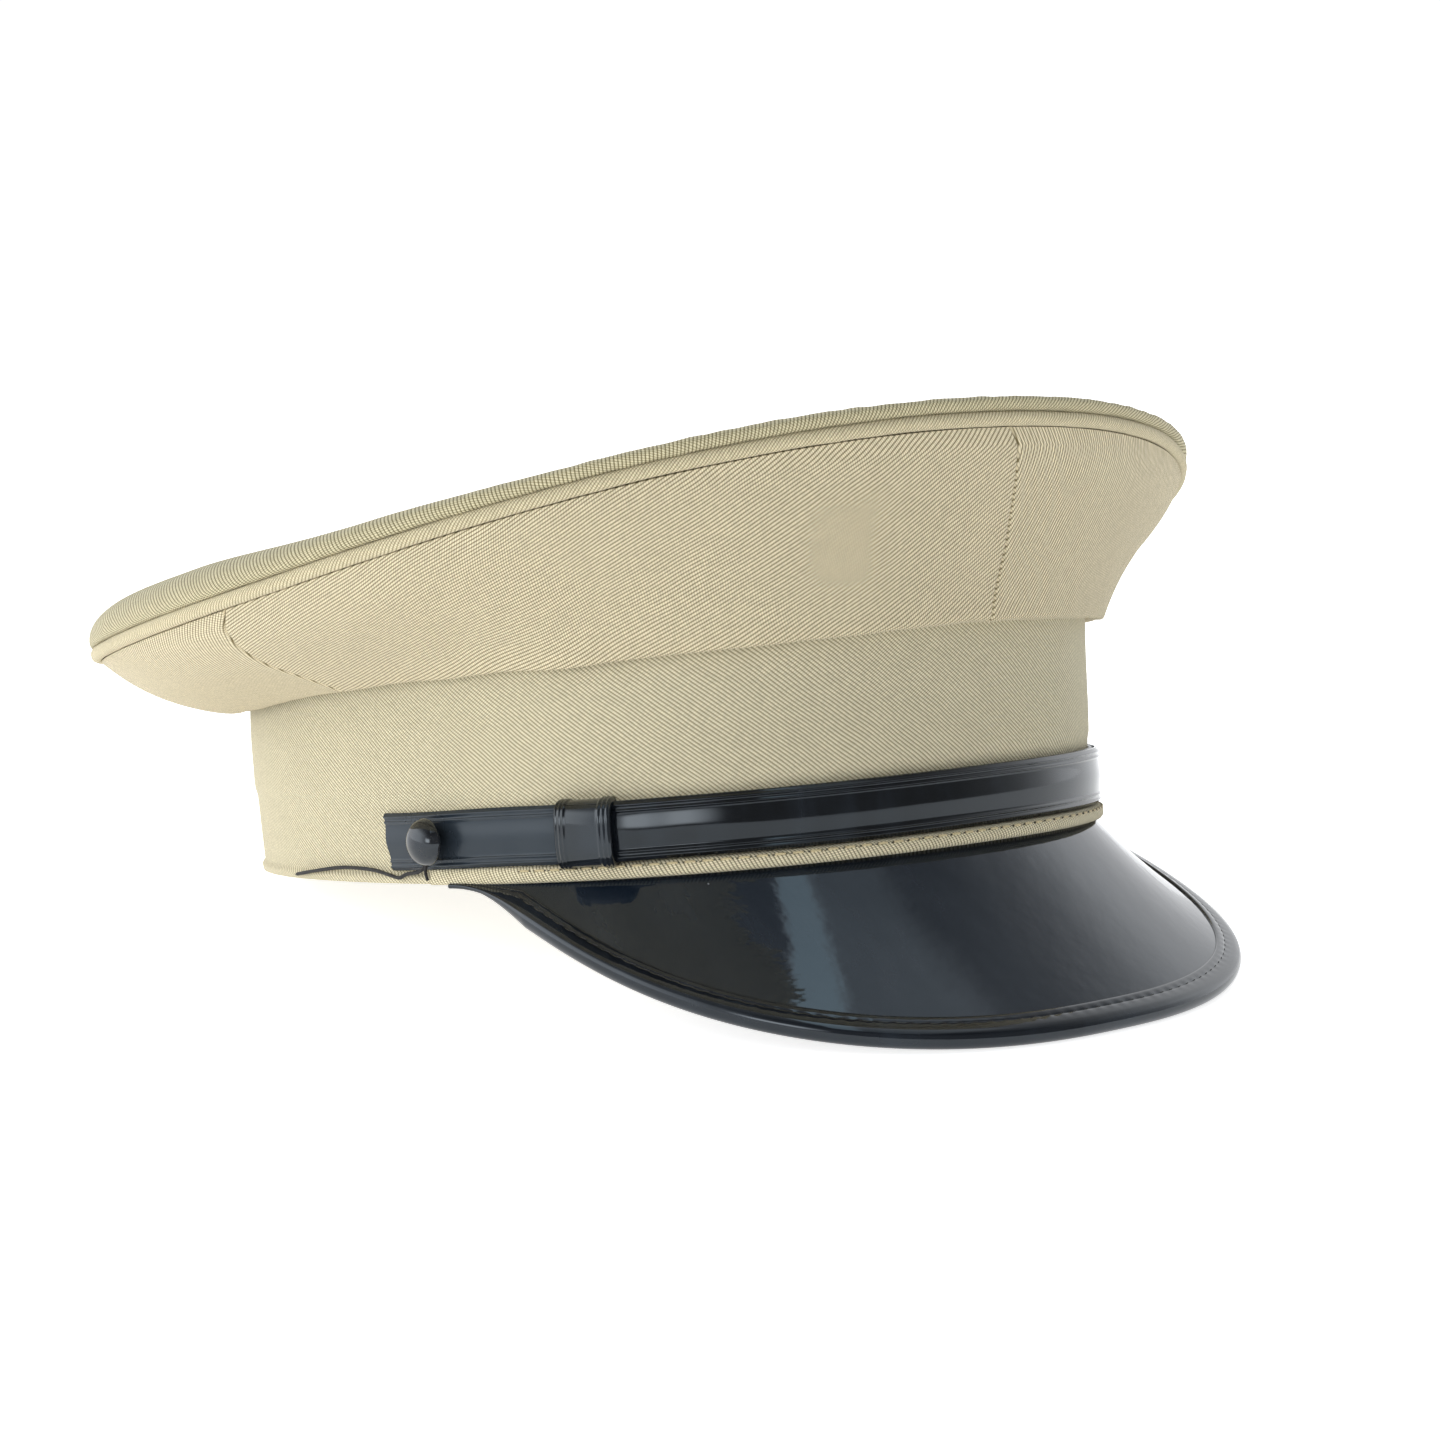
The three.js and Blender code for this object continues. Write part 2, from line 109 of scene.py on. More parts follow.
VISOR_TURN = 72.3
VISOR_SLOPE, VISOR_SLOPE_GAIN = 44, -2
VISOR_LENGTH, VISOR_TIP = 51.0, 0.9
VISOR_SHEET, VISOR_HOLLOW = 1.8, 1.2
BINDING_FLAP, BINDING_BEAD = 4.9, 2.3
BINDING_EDGE, BINDING_UNDER, BINDING_SEAM = 1.3, 0.9, 0.6
STITCH_PITCH = 3.55
TAPE_STITCH, TAPE_PITCH, TAPE_TURN, STITCHED_TURN = 3.5, 3.7, 76, 60

STRAP_WIDTH, STRAP_THICK, STRAP_BOTTOM, STRAP_END = 12.7, 1.0, 3.8, 84
STRAP_RIBS, STRAP_RIB_HEIGHT, STRAP_RIB_WIDTH = (0.85, 2.05), 0.42, 0.28
LAYER_GAP = 0.3
KEEPER_RIGHT, KEEPER_LEFT, KEEPER_SPREAD, KEEPER_WALL, KEEPER_DEPTH = 50.9, 62.8, 7.0, 0.8, 4.9
KEEPER_RIBS, KEEPER_RIB_HEIGHT = (0.45, 1.35, 2.2), 0.34
BUTTON_TURN, BUTTON_TILT, BUTTON_DOME, BUTTON_BULGE = 74, 10, 3.7, 5.08
# Points of a mesh that lie closer than this, in metres, become one.
WELD = 2e-6


def mix(a, b, share):
    return a + (b - a) * share


def held(value, low=0.0, high=1.0):
    return max(low, min(high, value))


def eased(value, start=0.0, end=1.0):
    t = held((value - start) / (end - start))
    return t * t * (3 - 2 * t)


def even(first, last, steps):
    return [mix(first, last, i / steps) for i in range(steps + 1)]


def hill(distance, width):
    return exp(-((distance / width) ** 2))


def arc(angle):
    """Cosine and sine of an angle in degrees."""
    return cos(radians(angle)), sin(radians(angle))


def rough(a, b=0.0, c=0.0):
    return noise.noise(Vector((a, b, c)))


def around(rows, column, value):
    """The two rows of a table on either side of a value, and its share of the way between them."""
    k = next((i for i, row in enumerate(rows) if i and row[column] >= value), len(rows) - 1)
    a, b = rows[k - 1], rows[k]
    return a, b, (value - a[column]) / (b[column] - a[column])


def lengths_along(path):
    total = [0.0]
    for a, b in zip(path, path[1:]):
        total.append(total[-1] + (b - a).length)
    return total


def heading(path, k):
    """Direction of a path at one of its points."""
    return (path[min(len(path) - 1, k + 1)] - path[max(0, k - 1)]).normalized()


def standing(point):
    return STANDING @ Vector(point) * 0.001


# Shape of the band


def oval(shape, turn, out=0.0):
    length, width = shape["half_length"] + out, shape["half_width"] + out
    c, s = arc(turn)
    n = shape["squareness"]
    radius = (abs(s / width) ** n + abs(c / length) ** n) ** (-1 / n)
    y = -radius * c
    return Vector((radius * s * (1 + shape["back_widening"] * y / length), y + shape["shift"]))


def band_normal(turn):
    along = (oval(BAND, turn + 0.5) - oval(BAND, turn - 0.5)).normalized()
    return Vector((along.y, -along.x))


def off_band(turn, out, z):
    p = oval(BAND, turn) + band_normal(turn) * out
    return Vector((p.x, p.y, z))


def frontness(turn):
    return max(0.0, cos(radians(turn))) ** 2


def crown_row(turn):
    a, b, linear = around(CROWN, "turn", abs((turn + 540) % 360 - 180))
    share = (linear + eased(linear)) / 2
    return {key: mix(a[key], b[key], share) for key in a}


def band_bottom(turn):
    return FRONT_RISE * frontness(turn)


def band_lean(turn, z):
    bottom = band_bottom(turn)
    share = held((z - bottom) / (crown_row(turn)["seam"] - bottom))
    a, b, up = around(BAND_FACE, "share", share)
    to_front = (1 + cos(radians(turn))) / 2
    return mix(mix(a["back"], b["back"], up), mix(a["front"], b["front"], up), to_front)


def on_band(turn, out, z):
    return off_band(turn, band_lean(turn, z) + out, z)


ROUND_STEPS = 720
ROUND_TURNS = even(-180, 180, ROUND_STEPS)
ROUND_LENGTHS = lengths_along([oval(BAND, turn) for turn in ROUND_TURNS])


def round_length(turn):
    """Length of the band's outline from its back to a turn."""
    place = held((turn + 180) / 360) * ROUND_STEPS
    i = min(ROUND_STEPS - 1, int(place))
    return mix(ROUND_LENGTHS[i], ROUND_LENGTHS[i + 1], place - i)


def turn_at(length):
    """The turn at a length along the band's outline."""
    low, high = 0, ROUND_STEPS
    while high - low > 1:
        middle = (low + high) // 2
        if ROUND_LENGTHS[middle] <= length:
            low = middle
        else:
            high = middle
    step = ROUND_LENGTHS[high] - ROUND_LENGTHS[low]
    return mix(ROUND_TURNS[low], ROUND_TURNS[high], (length - ROUND_LENGTHS[low]) / step)


# Mesh making


def turned(place, grain):
    c, s = arc(grain)
    return (place[0] * c + place[1] * s, place[1] * c - place[0] * s)


def skin(name, sections, places, material, slot, ring=False, sharp=50, nodes=(), filled=False):
    """A closed skin over a row of sections. Places hold each point's position on the flat cloth.

    A filled ring gets a face across its middle on both sides, instead of a wall round a hole there.
    """
    bm = bmesh.new()
    cloth = bm.loops.layers.uv.new("cloth")
    rows = [[bm.verts.new(standing(p)) for p in section] for section in sections]
    count = len(sections[0])
    wraps = len(places[0]) > count

    def face(corners):
        made = bm.faces.new([vert for vert, _ in corners])
        made.smooth = True
        for loop, (_, place) in zip(made.loops, corners):
            loop[cloth].uv = place

    for i in range(len(rows) if ring else len(rows) - 1):
        here, there = rows[i], rows[(i + 1) % len(rows)]
        for k in range(count):
            if filled and k == count // 2 - 1:
                continue
            up = (k + 1) % count
            next_place = k + 1 if wraps else up
            face(
                [
                    (here[k], places[i][k]),
                    (there[k], places[i + 1][k]),
                    (there[up], places[i + 1][next_place]),
                    (here[up], places[i][next_place]),
                ]
            )
    if filled:
        for k in (count // 2 - 1, count // 2):
            face([(row[k], place[k]) for row, place in zip(rows, places)])
    if not ring:
        for i in (0, len(rows) - 1):
            for k in range(count // 2 - 1):
                corners = [k, k + 1, count - 2 - k, count - 1 - k]
                face([(rows[i][c], places[i][c]) for c in corners])
    return finished(bm, name, material, sharp, nodes)


def finished(bm, name, material, sharp=50, nodes=()):
    bmesh.ops.remove_doubles(bm, verts=bm.verts, dist=WELD)
    bmesh.ops.recalc_face_normals(bm, faces=bm.faces)
    for edge in bm.edges:
        edge.smooth = edge.calc_face_angle(0) < radians(sharp)
    mesh = bpy.data.meshes.new(name)
    bm.to_mesh(mesh)
    bm.free()
    mesh.materials.append(material)
    piece = bpy.data.objects.new(name, mesh)
    bpy.context.scene.collection.objects.link(piece)
    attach(piece, "root")
    if nodes:
        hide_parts(*nodes)
    return piece


# Node helpers


def link_or_set(tree, socket, value):
    if isinstance(value, bpy.types.NodeSocket):
        tree.links.new(value, socket)
    else:
        socket.default_value = value


def put(tree, kind, inputs=None, **settings):
    node = tree.nodes.new("ShaderNode" + kind)
    for key, value in settings.items():
        setattr(node, key, value)
    for key, value in (inputs or {}).items():
        link_or_set(tree, node.inputs[key], value)
    return node


def maths(tree, operation, *values, clamp=False):
    node = put(tree, "Math", operation=operation, use_clamp=clamp)
    for socket, value in zip(node.inputs, values):
        link_or_set(tree, socket, value)
    return node.outputs[0]


def times(tree, a, b):
    return maths(tree, "MULTIPLY", a, b)


def plus(tree, a, b):
    return maths(tree, "ADD", a, b)


def minus(tree, a, b):
    return maths(tree, "SUBTRACT", a, b)


def blended(tree, factor, a, b):
    node = put(tree, "Mix", data_type="RGBA")
    for index, value in ((0, factor), (6, a), (7, b)):
        link_or_set(tree, node.inputs[index], value)
    return node.outputs[2]


def clouds(tree, place, scale, detail=2.0, harshness=0.5):
    inputs = {"Vector": place, "Scale": scale, "Detail": detail, "Roughness": harshness}
    return put(tree, "TexNoise", inputs).outputs


def emboss(tree, shader, height, depth, strength=1.0):
    """Relief in the surface, of a depth in mm."""
    bump = put(tree, "Bump", {"Strength": strength, "Distance": depth * 0.001, "Height": height})
    tree.links.new(bump.outputs[0], shader["Normal"])


def ranged(tree, value, low, high, to_low=0.0, to_high=1.0, how="SMOOTHSTEP"):
    node = put(tree, "MapRange", interpolation_type=how)
    for index, number in enumerate((value, low, high, to_low, to_high)):
        link_or_set(tree, node.inputs[index], number)
    return node.outputs[0]


def rgb(red, green, blue):
    """A colour as seen on screen, 0 to 255, turned into the linear one that nodes use."""

    def linear(value):
        value /= 255
        return value / 12.92 if value <= 0.04045 else ((value + 0.055) / 1.055) ** 2.4

    return (linear(red), linear(green), linear(blue), 1)


def effect(name, inputs, outputs):
    """A node group that takes a place and the inputs. Returns the tree, what it is given and its result."""
    kinds = {"Place": "Vector", "Colour": "Color"}
    tree = bpy.data.node_groups.new(name, "ShaderNodeTree")
    for label in ["Place", *inputs]:
        kind = "NodeSocket" + kinds.get(label, "Float")
        socket = tree.interface.new_socket(name=label, in_out="INPUT", socket_type=kind)
        if inputs.get(label) is not None:
            socket.default_value = inputs[label]
    for label in outputs:
        kind = "NodeSocket" + kinds.get(label, "Float")
        tree.interface.new_socket(name=label, in_out="OUTPUT", socket_type=kind)
    given = tree.nodes.new("NodeGroupInput").outputs
    result = tree.nodes.new("NodeGroupOutput").inputs
    return tree, given, result


def gives(tree, sockets, values):
    for label, value in values.items():
        tree.links.new(value, sockets[label])
    return tree


def use(tree, group, inputs):
    node = tree.nodes.new("ShaderNodeGroup")
    node.node_tree = group
    for key, value in inputs.items():
        link_or_set(tree, node.inputs[key], value)
    return node.outputs


def twill_effect():
    spacings = {"Line Spacing": 0.8, "Yarn Spacing": 0.5}
    tree, given, result = effect("Twill weave", spacings, ["Line", "Relief", "Yarn Tone"])

    def rounded(number, fullness):
        """One round back per whole number, from 0 at its sides to 1 at its middle."""
        across = minus(tree, times(tree, maths(tree, "FRACT", number), 2.0), 1.0)
        return minus(tree, 1.0, maths(tree, "POWER", maths(tree, "ABSOLUTE", across), fullness))

    drift = clouds(tree, given["Place"], 0.06, 1.0)["Color"]
    shift = put(tree, "VectorMath", {0: drift, 1: (0.5, 0.5, 0.5)}, operation="SUBTRACT")
    drawn = put(tree, "VectorMath", {0: shift.outputs[0], "Scale": 1.3}, operation="SCALE")
    place = put(tree, "VectorMath", {0: given["Place"], 1: drawn.outputs[0]}, operation="ADD")
    axes = put(tree, "SeparateXYZ", {0: place.outputs[0]})
    row = maths(tree, "DIVIDE", axes.outputs["Y"], given["Line Spacing"])
    line = maths(tree, "FLOOR", row)
    ridge = rounded(row, 2.2)
    lean = maths(tree, "MULTIPLY_ADD", axes.outputs["Y"], -0.3, axes.outputs["X"])
    along = maths(tree, "DIVIDE", lean, given["Yarn Spacing"])
    body = maths(tree, "MULTIPLY_ADD", rounded(along, 2.4), 0.7, 0.3)
    relief = times(tree, ridge, body)
    cell = put(tree, "CombineXYZ", {0: maths(tree, "FLOOR", along), 1: line})
    tone = put(tree, "TexWhiteNoise", {"Vector": cell.outputs[0]}, noise_dimensions="2D")
    # Painted shade: Line follows the relief, so cloth coloured by it is darker in the furrows and between
    # the yarns, where shade falls.
    lit = ranged(tree, relief, 0.08, 0.9)
    return gives(tree, result, {"Relief": relief, "Line": lit, "Yarn Tone": tone.outputs["Value"]})


def dye_effect():
    tree, given, result = effect("Uneven dye", {"Colour": None, "Patches": 0.06, "Slubs": 0.05}, ["Colour"])
    patch = clouds(tree, given["Place"], 0.035, 3.0, 0.6)["Fac"]
    stretch = put(tree, "Mapping", {"Vector": given["Place"], "Scale": (0.08, 1.4, 1.0)})
    slub = clouds(tree, stretch.outputs[0], 1.0)["Fac"]
    lift = times(tree, minus(tree, patch, 0.5), given["Patches"])
    thick = times(tree, minus(tree, slub, 0.5), given["Slubs"])
    level = plus(tree, plus(tree, lift, thick), 0.5)
    value = times(tree, level, 2.0)
    tinted = put(tree, "HueSaturation", {"Value": value, "Color": given["Colour"]})
    return gives(tree, result, {"Colour": tinted.outputs[0]})


def dust_effect():
    tree, given, result = effect("Dust specks", {"Spacing": 9.0, "Size": 0.05}, ["Speck"])
    size = maths(tree, "DIVIDE", 1.0, given["Spacing"])
    cells = put(tree, "TexVoronoi", {"Vector": given["Place"], "Scale": size, "Randomness": 1.0})
    speck = ranged(tree, cells.outputs["Distance"], given["Size"], 0.01, 0.0, 1.0, "LINEAR")
    return gives(tree, result, {"Speck": speck})


def haze_effect():
    levels = {"Base Roughness": 0.06, "Haze": 0.06}
    tree, given, result = effect("Wiped haze", levels, ["Roughness", "Ripple", "Smear"])
    wiped = put(tree, "Mapping", {"Vector": given["Place"], "Scale": (0.05, 0.016, 0.05)})
    veil = ranged(tree, clouds(tree, wiped.outputs[0], 1.0, 5.0, 0.62)["Fac"], 0.42, 0.72)
    hazy = maths(tree, "MULTIPLY_ADD", veil, given["Haze"], given["Base Roughness"])
    ripple = clouds(tree, given["Place"], 0.11, 3.0)["Fac"]
    return gives(tree, result, {"Roughness": hazy, "Ripple": ripple, "Smear": veil})


TWILL = twill_effect()
DYE = dye_effect()
DUST = dust_effect()
HAZE = haze_effect()


def blank(name):
    material = bpy.data.materials.new(name)
    material.use_nodes = True
    tree = material.node_tree
    tree.nodes.clear()
    shader = put(tree, "BsdfPrincipled")
    put(tree, "OutputMaterial", {"Surface": shader.outputs[0]})
    place = put(tree, "UVMap", uv_map="cloth").outputs[0]
    return material, tree, shader.inputs, place


YARN_SPACING, WEAVE_DEPTH, DYE_UNEVEN = 0.5, 0.14, 0.04


def cloth(name, ridge, furrow_shade, spacing=0.8):
    material, tree, shader, place = blank(name)
    weave = use(tree, TWILL, {"Place": place, "Line Spacing": spacing, "Yarn Spacing": YARN_SPACING})
    # Painted shade: the furrow colour is laid into the weave's furrows and the gaps between yarns, following
    # the relief. Yarn tone and uneven dye are the cloth's own.
    woven = blended(tree, weave["Line"], furrow_shade, ridge)
    spotted = maths(tree, "MULTIPLY_ADD", weave["Yarn Tone"], 0.14, 0.93)
    toned = put(tree, "HueSaturation", {"Value": spotted, "Color": woven})
    uneven = {"Patches": DYE_UNEVEN, "Slubs": DYE_UNEVEN}
    dyed = use(tree, DYE, {"Place": place, "Colour": toned.outputs[0], **uneven})
    smoother = maths(tree, "MULTIPLY_ADD", weave["Line"], -0.1, 0.93)
    gives(tree, shader, {"Base Color": dyed["Colour"], "Roughness": smoother})
    shader["Sheen Weight"].default_value = 0.12
    shader["Sheen Roughness"].default_value = 0.45
    shader["Specular IOR Level"].default_value = 0.25
    fuzz = clouds(tree, place, 3.1)["Fac"]
    emboss(tree, shader, maths(tree, "MULTIPLY_ADD", fuzz, 0.35, weave["Relief"]), WEAVE_DEPTH, 0.8)
    return material


SMEAR_COLOUR, DUST_COLOUR = rgb(40, 46, 54), rgb(205, 205, 205)
COOL_GLOSS = (0.84, 0.93, 1.0, 1)


def patent(name, colour, roughness, haze, ripple, ior=1.55):
    material, tree, shader, place = blank(name)
    wiped = use(tree, HAZE, {"Place": place, "Base Roughness": roughness, "Haze": haze})
    dust = use(tree, DUST, {"Place": place, "Spacing": 11.0, "Size": 0.022})
    smeared = blended(tree, times(tree, wiped["Smear"], 0.5), colour, SMEAR_COLOUR)
    dusted = blended(tree, times(tree, dust["Speck"], 0.35), smeared, DUST_COLOUR)
    rougher = plus(tree, wiped["Roughness"], times(tree, dust["Speck"], 0.4))
    gives(tree, shader, {"Base Color": dusted, "Roughness": rougher})
    emboss(tree, shader, wiped["Ripple"], ripple)
    shader["IOR"].default_value = ior
    shader["Specular Tint"].default_value = COOL_GLOSS
    return material


def thread(name, colour, ply_shade, hole=None):
    """Twisted thread, with painted shade in the grooves between its plies. In a row of stitches, the ends of
    each one get painted shade where they go into the cloth.
    """
    material, tree, shader, place = blank(name)
    axes = put(tree, "SeparateXYZ", {0: place})
    round_it = times(tree, axes.outputs["Y"], 2.0)
    twist = plus(tree, times(tree, axes.outputs["X"], 3.0), round_it)
    ply = maths(tree, "ABSOLUTE", maths(tree, "SINE", times(tree, twist, pi)))
    fibre = clouds(tree, place, 6.0)["Fac"]
    shade = maths(tree, "MULTIPLY", ply, fibre, clamp=True)
    # Painted shade: the thread takes the ply shade colour in the grooves between its plies, mixed with a
    # random fibre tone.
    spun = blended(tree, ranged(tree, shade, 0.05, 0.45), ply_shade, colour)
    # Painted shade: the hole colour is laid on each stitch's ends, where they dip into the cloth, to stand
    # for the shade in the needle holes.
    if hole:
        from_middle = maths(tree, "ABSOLUTE", axes.outputs["X"])
        hole_shade_mask = ranged(tree, from_middle, TAPE_STITCH * 0.28, TAPE_STITCH * 0.38)
        spun = blended(tree, hole_shade_mask, spun, hole)
    gives(tree, shader, {"Base Color": spun, "Roughness": maths(tree, "MULTIPLY_ADD", fibre, 0.3, 0.5)})
    emboss(tree, shader, ply, 0.1, 0.7)
    return material


# Each cloth's second colour is painted shade for the furrows of its weave.
CROWN_CLOTH = cloth("crown twill", rgb(225, 213, 182), rgb(120, 108, 76))
TOP_CLOTH = cloth("top panel twill", rgb(208, 199, 165), rgb(113, 104, 73))
BAND_CLOTH = cloth("band twill", rgb(217, 209, 181), rgb(132, 123, 93), spacing=0.75)
PIPING_CLOTH = cloth("piping twill", rgb(218, 207, 174), rgb(148, 136, 104), spacing=0.7)
HEM_CLOTH = cloth("hem twill", rgb(228, 219, 188), rgb(116, 106, 78), spacing=0.75)
VISOR_PATENT = patent("visor patent", rgb(16, 24, 34), 0.045, haze=0.04, ripple=0.10, ior=1.48)
EDGE_PATENT = patent("visor binding patent", rgb(20, 23, 28), 0.06, haze=0.04, ripple=0.05, ior=1.48)
LOWER_STRAP = patent("lower strap satin", rgb(36, 43, 50), 0.25, haze=0.06, ripple=0.02, ior=1.42)
UPPER_STRAP = patent("upper strap gloss", rgb(10, 11, 13), 0.09, haze=0.03, ripple=0.015, ior=1.46)
KEEPER_GLOSS = patent("keeper gloss", rgb(15, 17, 20), 0.08, haze=0.02, ripple=0.015)
BUTTON_GLOSS = patent("button gloss", rgb(30, 31, 35), 0.07, haze=0.04, ripple=0.02)
# The threads' second colours are painted shade between their plies. The tan thread's hole colour is painted
# shade in its needle holes.
TAN_THREAD = thread("tan thread", rgb(224, 208, 166), rgb(140, 122, 86), hole=rgb(40, 32, 22))
BLACK_THREAD = thread("black thread", rgb(26, 25, 27), rgb(8, 8, 10))


# Crown


def rim_height(y):
    v = -(y - RIM["shift"]) / RIM["half_length"]
    sag = RIM_SAG * hill(v - 0.35, 0.45)
    return RIM_MIDDLE + RIM_TILT * v + RIM_BEND * v**2 + RIM_DROOP * v**3 - sag


def bezier(a, b, c, d, steps):
    points = []
    for t in even(0, 1, steps):
        s = 1 - t
        points.append(a * s**3 + b * 3 * s * s * t + c * 3 * s * t * t + d * t**3)
    return points


UNDER_STEPS, WALL_STEPS = 9, 34


def crown_profile(turn):
    """The side wall's outer face at a turn, as distances out of the band's edge and over its seam."""
    row = crown_row(turn)
    seam, rim = oval(BAND, turn), oval(RIM, turn)
    low, high = Vector(arc(row["low"])), Vector(arc(row["high"]))
    waved, hang = 0.45 * rough(turn / 9, 2.5), 0.0
    for fold in FOLDS:
        here = hill(turn - fold["turn"], fold["width"])
        waved += fold["out"] * here
        hang += fold["up"] * here
    edge = Vector((0.6, 0))
    roll = Vector((row["out"] + waved, row["up"] + 0.6 * waved + hang))
    end = Vector(((rim - seam).length, rim_height(rim.y) - row["seam"])) - high * (PIPING + CORD_GAP)
    end += Vector((high.y, -high.x)) * TUCKED_UNDER
    roll_hold, wall_hold = 0.5 * (roll - edge).length, 0.36 * (end - roll).length
    first = Vector((edge.x + 0.25 * row["out"], 0.9 * min(0, row["up"])))
    under = bezier(edge, first, roll - low * roll_hold, roll, UNDER_STEPS)
    wall = bezier(roll, roll + low * wall_hold, end - high * wall_hold, end, WALL_STEPS)
    path = [Vector((-BAND_WALL, 0))] + under + wall[1:]
    return path, seam, (rim - seam).normalized(), row["seam"]


def wall_ripple(turn, up):
    """Soft swells of the side wall, and small gathers where it is sewn in at both edges."""
    swell = 0.7 * rough(turn / 30, up * 1.3, 3.1) * sin(pi * held(up))
    gathers = 0.12 * rough(turn / 3, up * 2, 7.7) * eased(up, 0.72, 1)
    tucks = 0.2 * rough(turn / 2.6, up * 3, 1.4) * eased(0.45 - up, 0, 0.3)
    return swell + gathers + tucks


def seam_turn(seam, up):
    a, b, share = around(seam, "up", up)
    return mix(a["turn"], b["turn"], share)


def mirrored(seam):
    return [{"up": row["up"], "turn": -row["turn"]} for row in seam]


def crown_quarter(name, node, start, end, grain, drawn=0.0):
    """A quarter of the side wall, from one seam to the next. Drawn is how much its top edge is pulled in."""
    near_seam = [distance / QUARTER_WIDTH for distance in SEAM_STEPS]
    far_from_seam = even(5 / QUARTER_WIDTH, 1 - 5 / QUARTER_WIDTH, 100)
    shares = near_seam + far_from_seam + [1 - share for share in reversed(near_seam)]
    rows = UNDER_STEPS + WALL_STEPS + 2
    sections, places = [], []
    fan = radians(QUARTER_FAN)
    inner = QUARTER_ARC / fan
    for share in shares:
        outside, inside, place = [], [], []
        for k in range(rows):
            up = k / (rows - 1)
            first, last = seam_turn(start, up), seam_turn(end, up)
            turn = mix(first, last, share)
            path, seam, out, height = crown_profile(turn)
            total = lengths_along(path)
            to_seam = min(share, 1 - share) * radians(abs(last - first)) * mix(FOOT_RADIUS, RIM_RADIUS, up)
            lip = SEAM_LIP["height"] * hill(to_seam - SEAM_LIP["at"], SEAM_LIP["width"])
            groove = SEAM_GROOVE["depth"] * hill(to_seam, SEAM_GROOVE["width"]) - lip
            free = held((k - 1) / 4)
            lift = (wall_ripple(turn, up) - groove) * free
            along = heading(path, k)
            for depth, face in ((-lift, outside), (CLOTH - lift, inside)):
                p = path[k] + Vector((-along.y, along.x)) * depth
                face.append(Vector((seam.x + out.x * p.x, seam.y + out.y * p.x, height + p.y)))
            near_top = max(0, total[k] - total[-1] + DRAWN_HEIGHT)
            radius = inner + total[k] - drawn * near_top**2 / (2 * DRAWN_HEIGHT)
            angle = (share - 0.5) * fan
            place.append(turned((radius * sin(angle), radius * cos(angle) - inner), grain))
        sections.append(outside + inside[::-1])
        places.append(place + place[::-1])
    return skin(name, sections, places, CROWN_CLOTH, "khaki_twill", sharp=32, nodes=[node])


crown_quarter("crown_front_right", "quarter_front_right", mirrored(LEFT_SEAM), FRONT_SEAM, 26)
crown_quarter("crown_front_left", "quarter_front_left", FRONT_SEAM, LEFT_SEAM, 70, 1.0)
crown_quarter("crown_back_left", "quarter_back_left", LEFT_SEAM, BACK_SEAM, 20)
crown_quarter("crown_back_right", "quarter_back_right", mirrored(BACK_SEAM), mirrored(LEFT_SEAM), 68)


def rim_piping():
    sides, turns = 14, even(-180, 180, 720)
    sections, places = [], []
    rims = [oval(RIM, turn) for turn in turns]
    for turn, rim, run in zip(turns, rims, lengths_along(rims)):
        out = (rim - oval(BAND, turn)).normalized()
        radius = PIPING * (1 + 0.05 * rough(turn / 2.2, 5.0))
        wander = 0.25 * rough(turn / 11, 8.8)
        section, place = [], []
        for k in range(sides + 1):
            angle = 2 * pi * k / sides + pi
            if k < sides:
                p = rim + out * (radius * cos(angle))
                section.append(Vector((p.x, p.y, rim_height(rim.y) + wander + radius * sin(angle))))
            place.append(turned((run, angle * PIPING), 50))
        sections.append(section)
        places.append(place)
    nodes = ["crown_welt"]
    return skin("crown_piping", sections[:-1], places, PIPING_CLOTH, "khaki_twill", ring=True, nodes=nodes)


rim_piping()


def top_path(reach, lift):
    """The top panel's outer face from its seam behind the cord to its middle, as (distance in, height)."""
    neck, crest = ROLL_FOOT_UP + ROLL_NECK, PIPING + lift
    path = [(ROLL_FOOT_IN, ROLL_FOOT_UP), (0.1, neck - 0.12)]
    for angle in even(0, 75, 5):
        c, s = arc(angle)
        path.append((-ROLL_TUCK - (ROLL_OUT - ROLL_TUCK) * s, ROLL_WAIST - (ROLL_WAIST - neck) * c))
    for angle in even(0, 90, 16):
        c, s = arc(angle)
        path.append((ROLL_WIDTH - (ROLL_WIDTH + ROLL_OUT) * c, ROLL_WAIST + (crest - ROLL_WAIST) * s))
    flat = reach - ROLL_WIDTH
    for share in even(0, 1, 20)[1:]:
        level = mix(crest - TOP_DIP * share, TOP_MIDDLE, share)
        path.append((ROLL_WIDTH + flat * share, level))
    return path


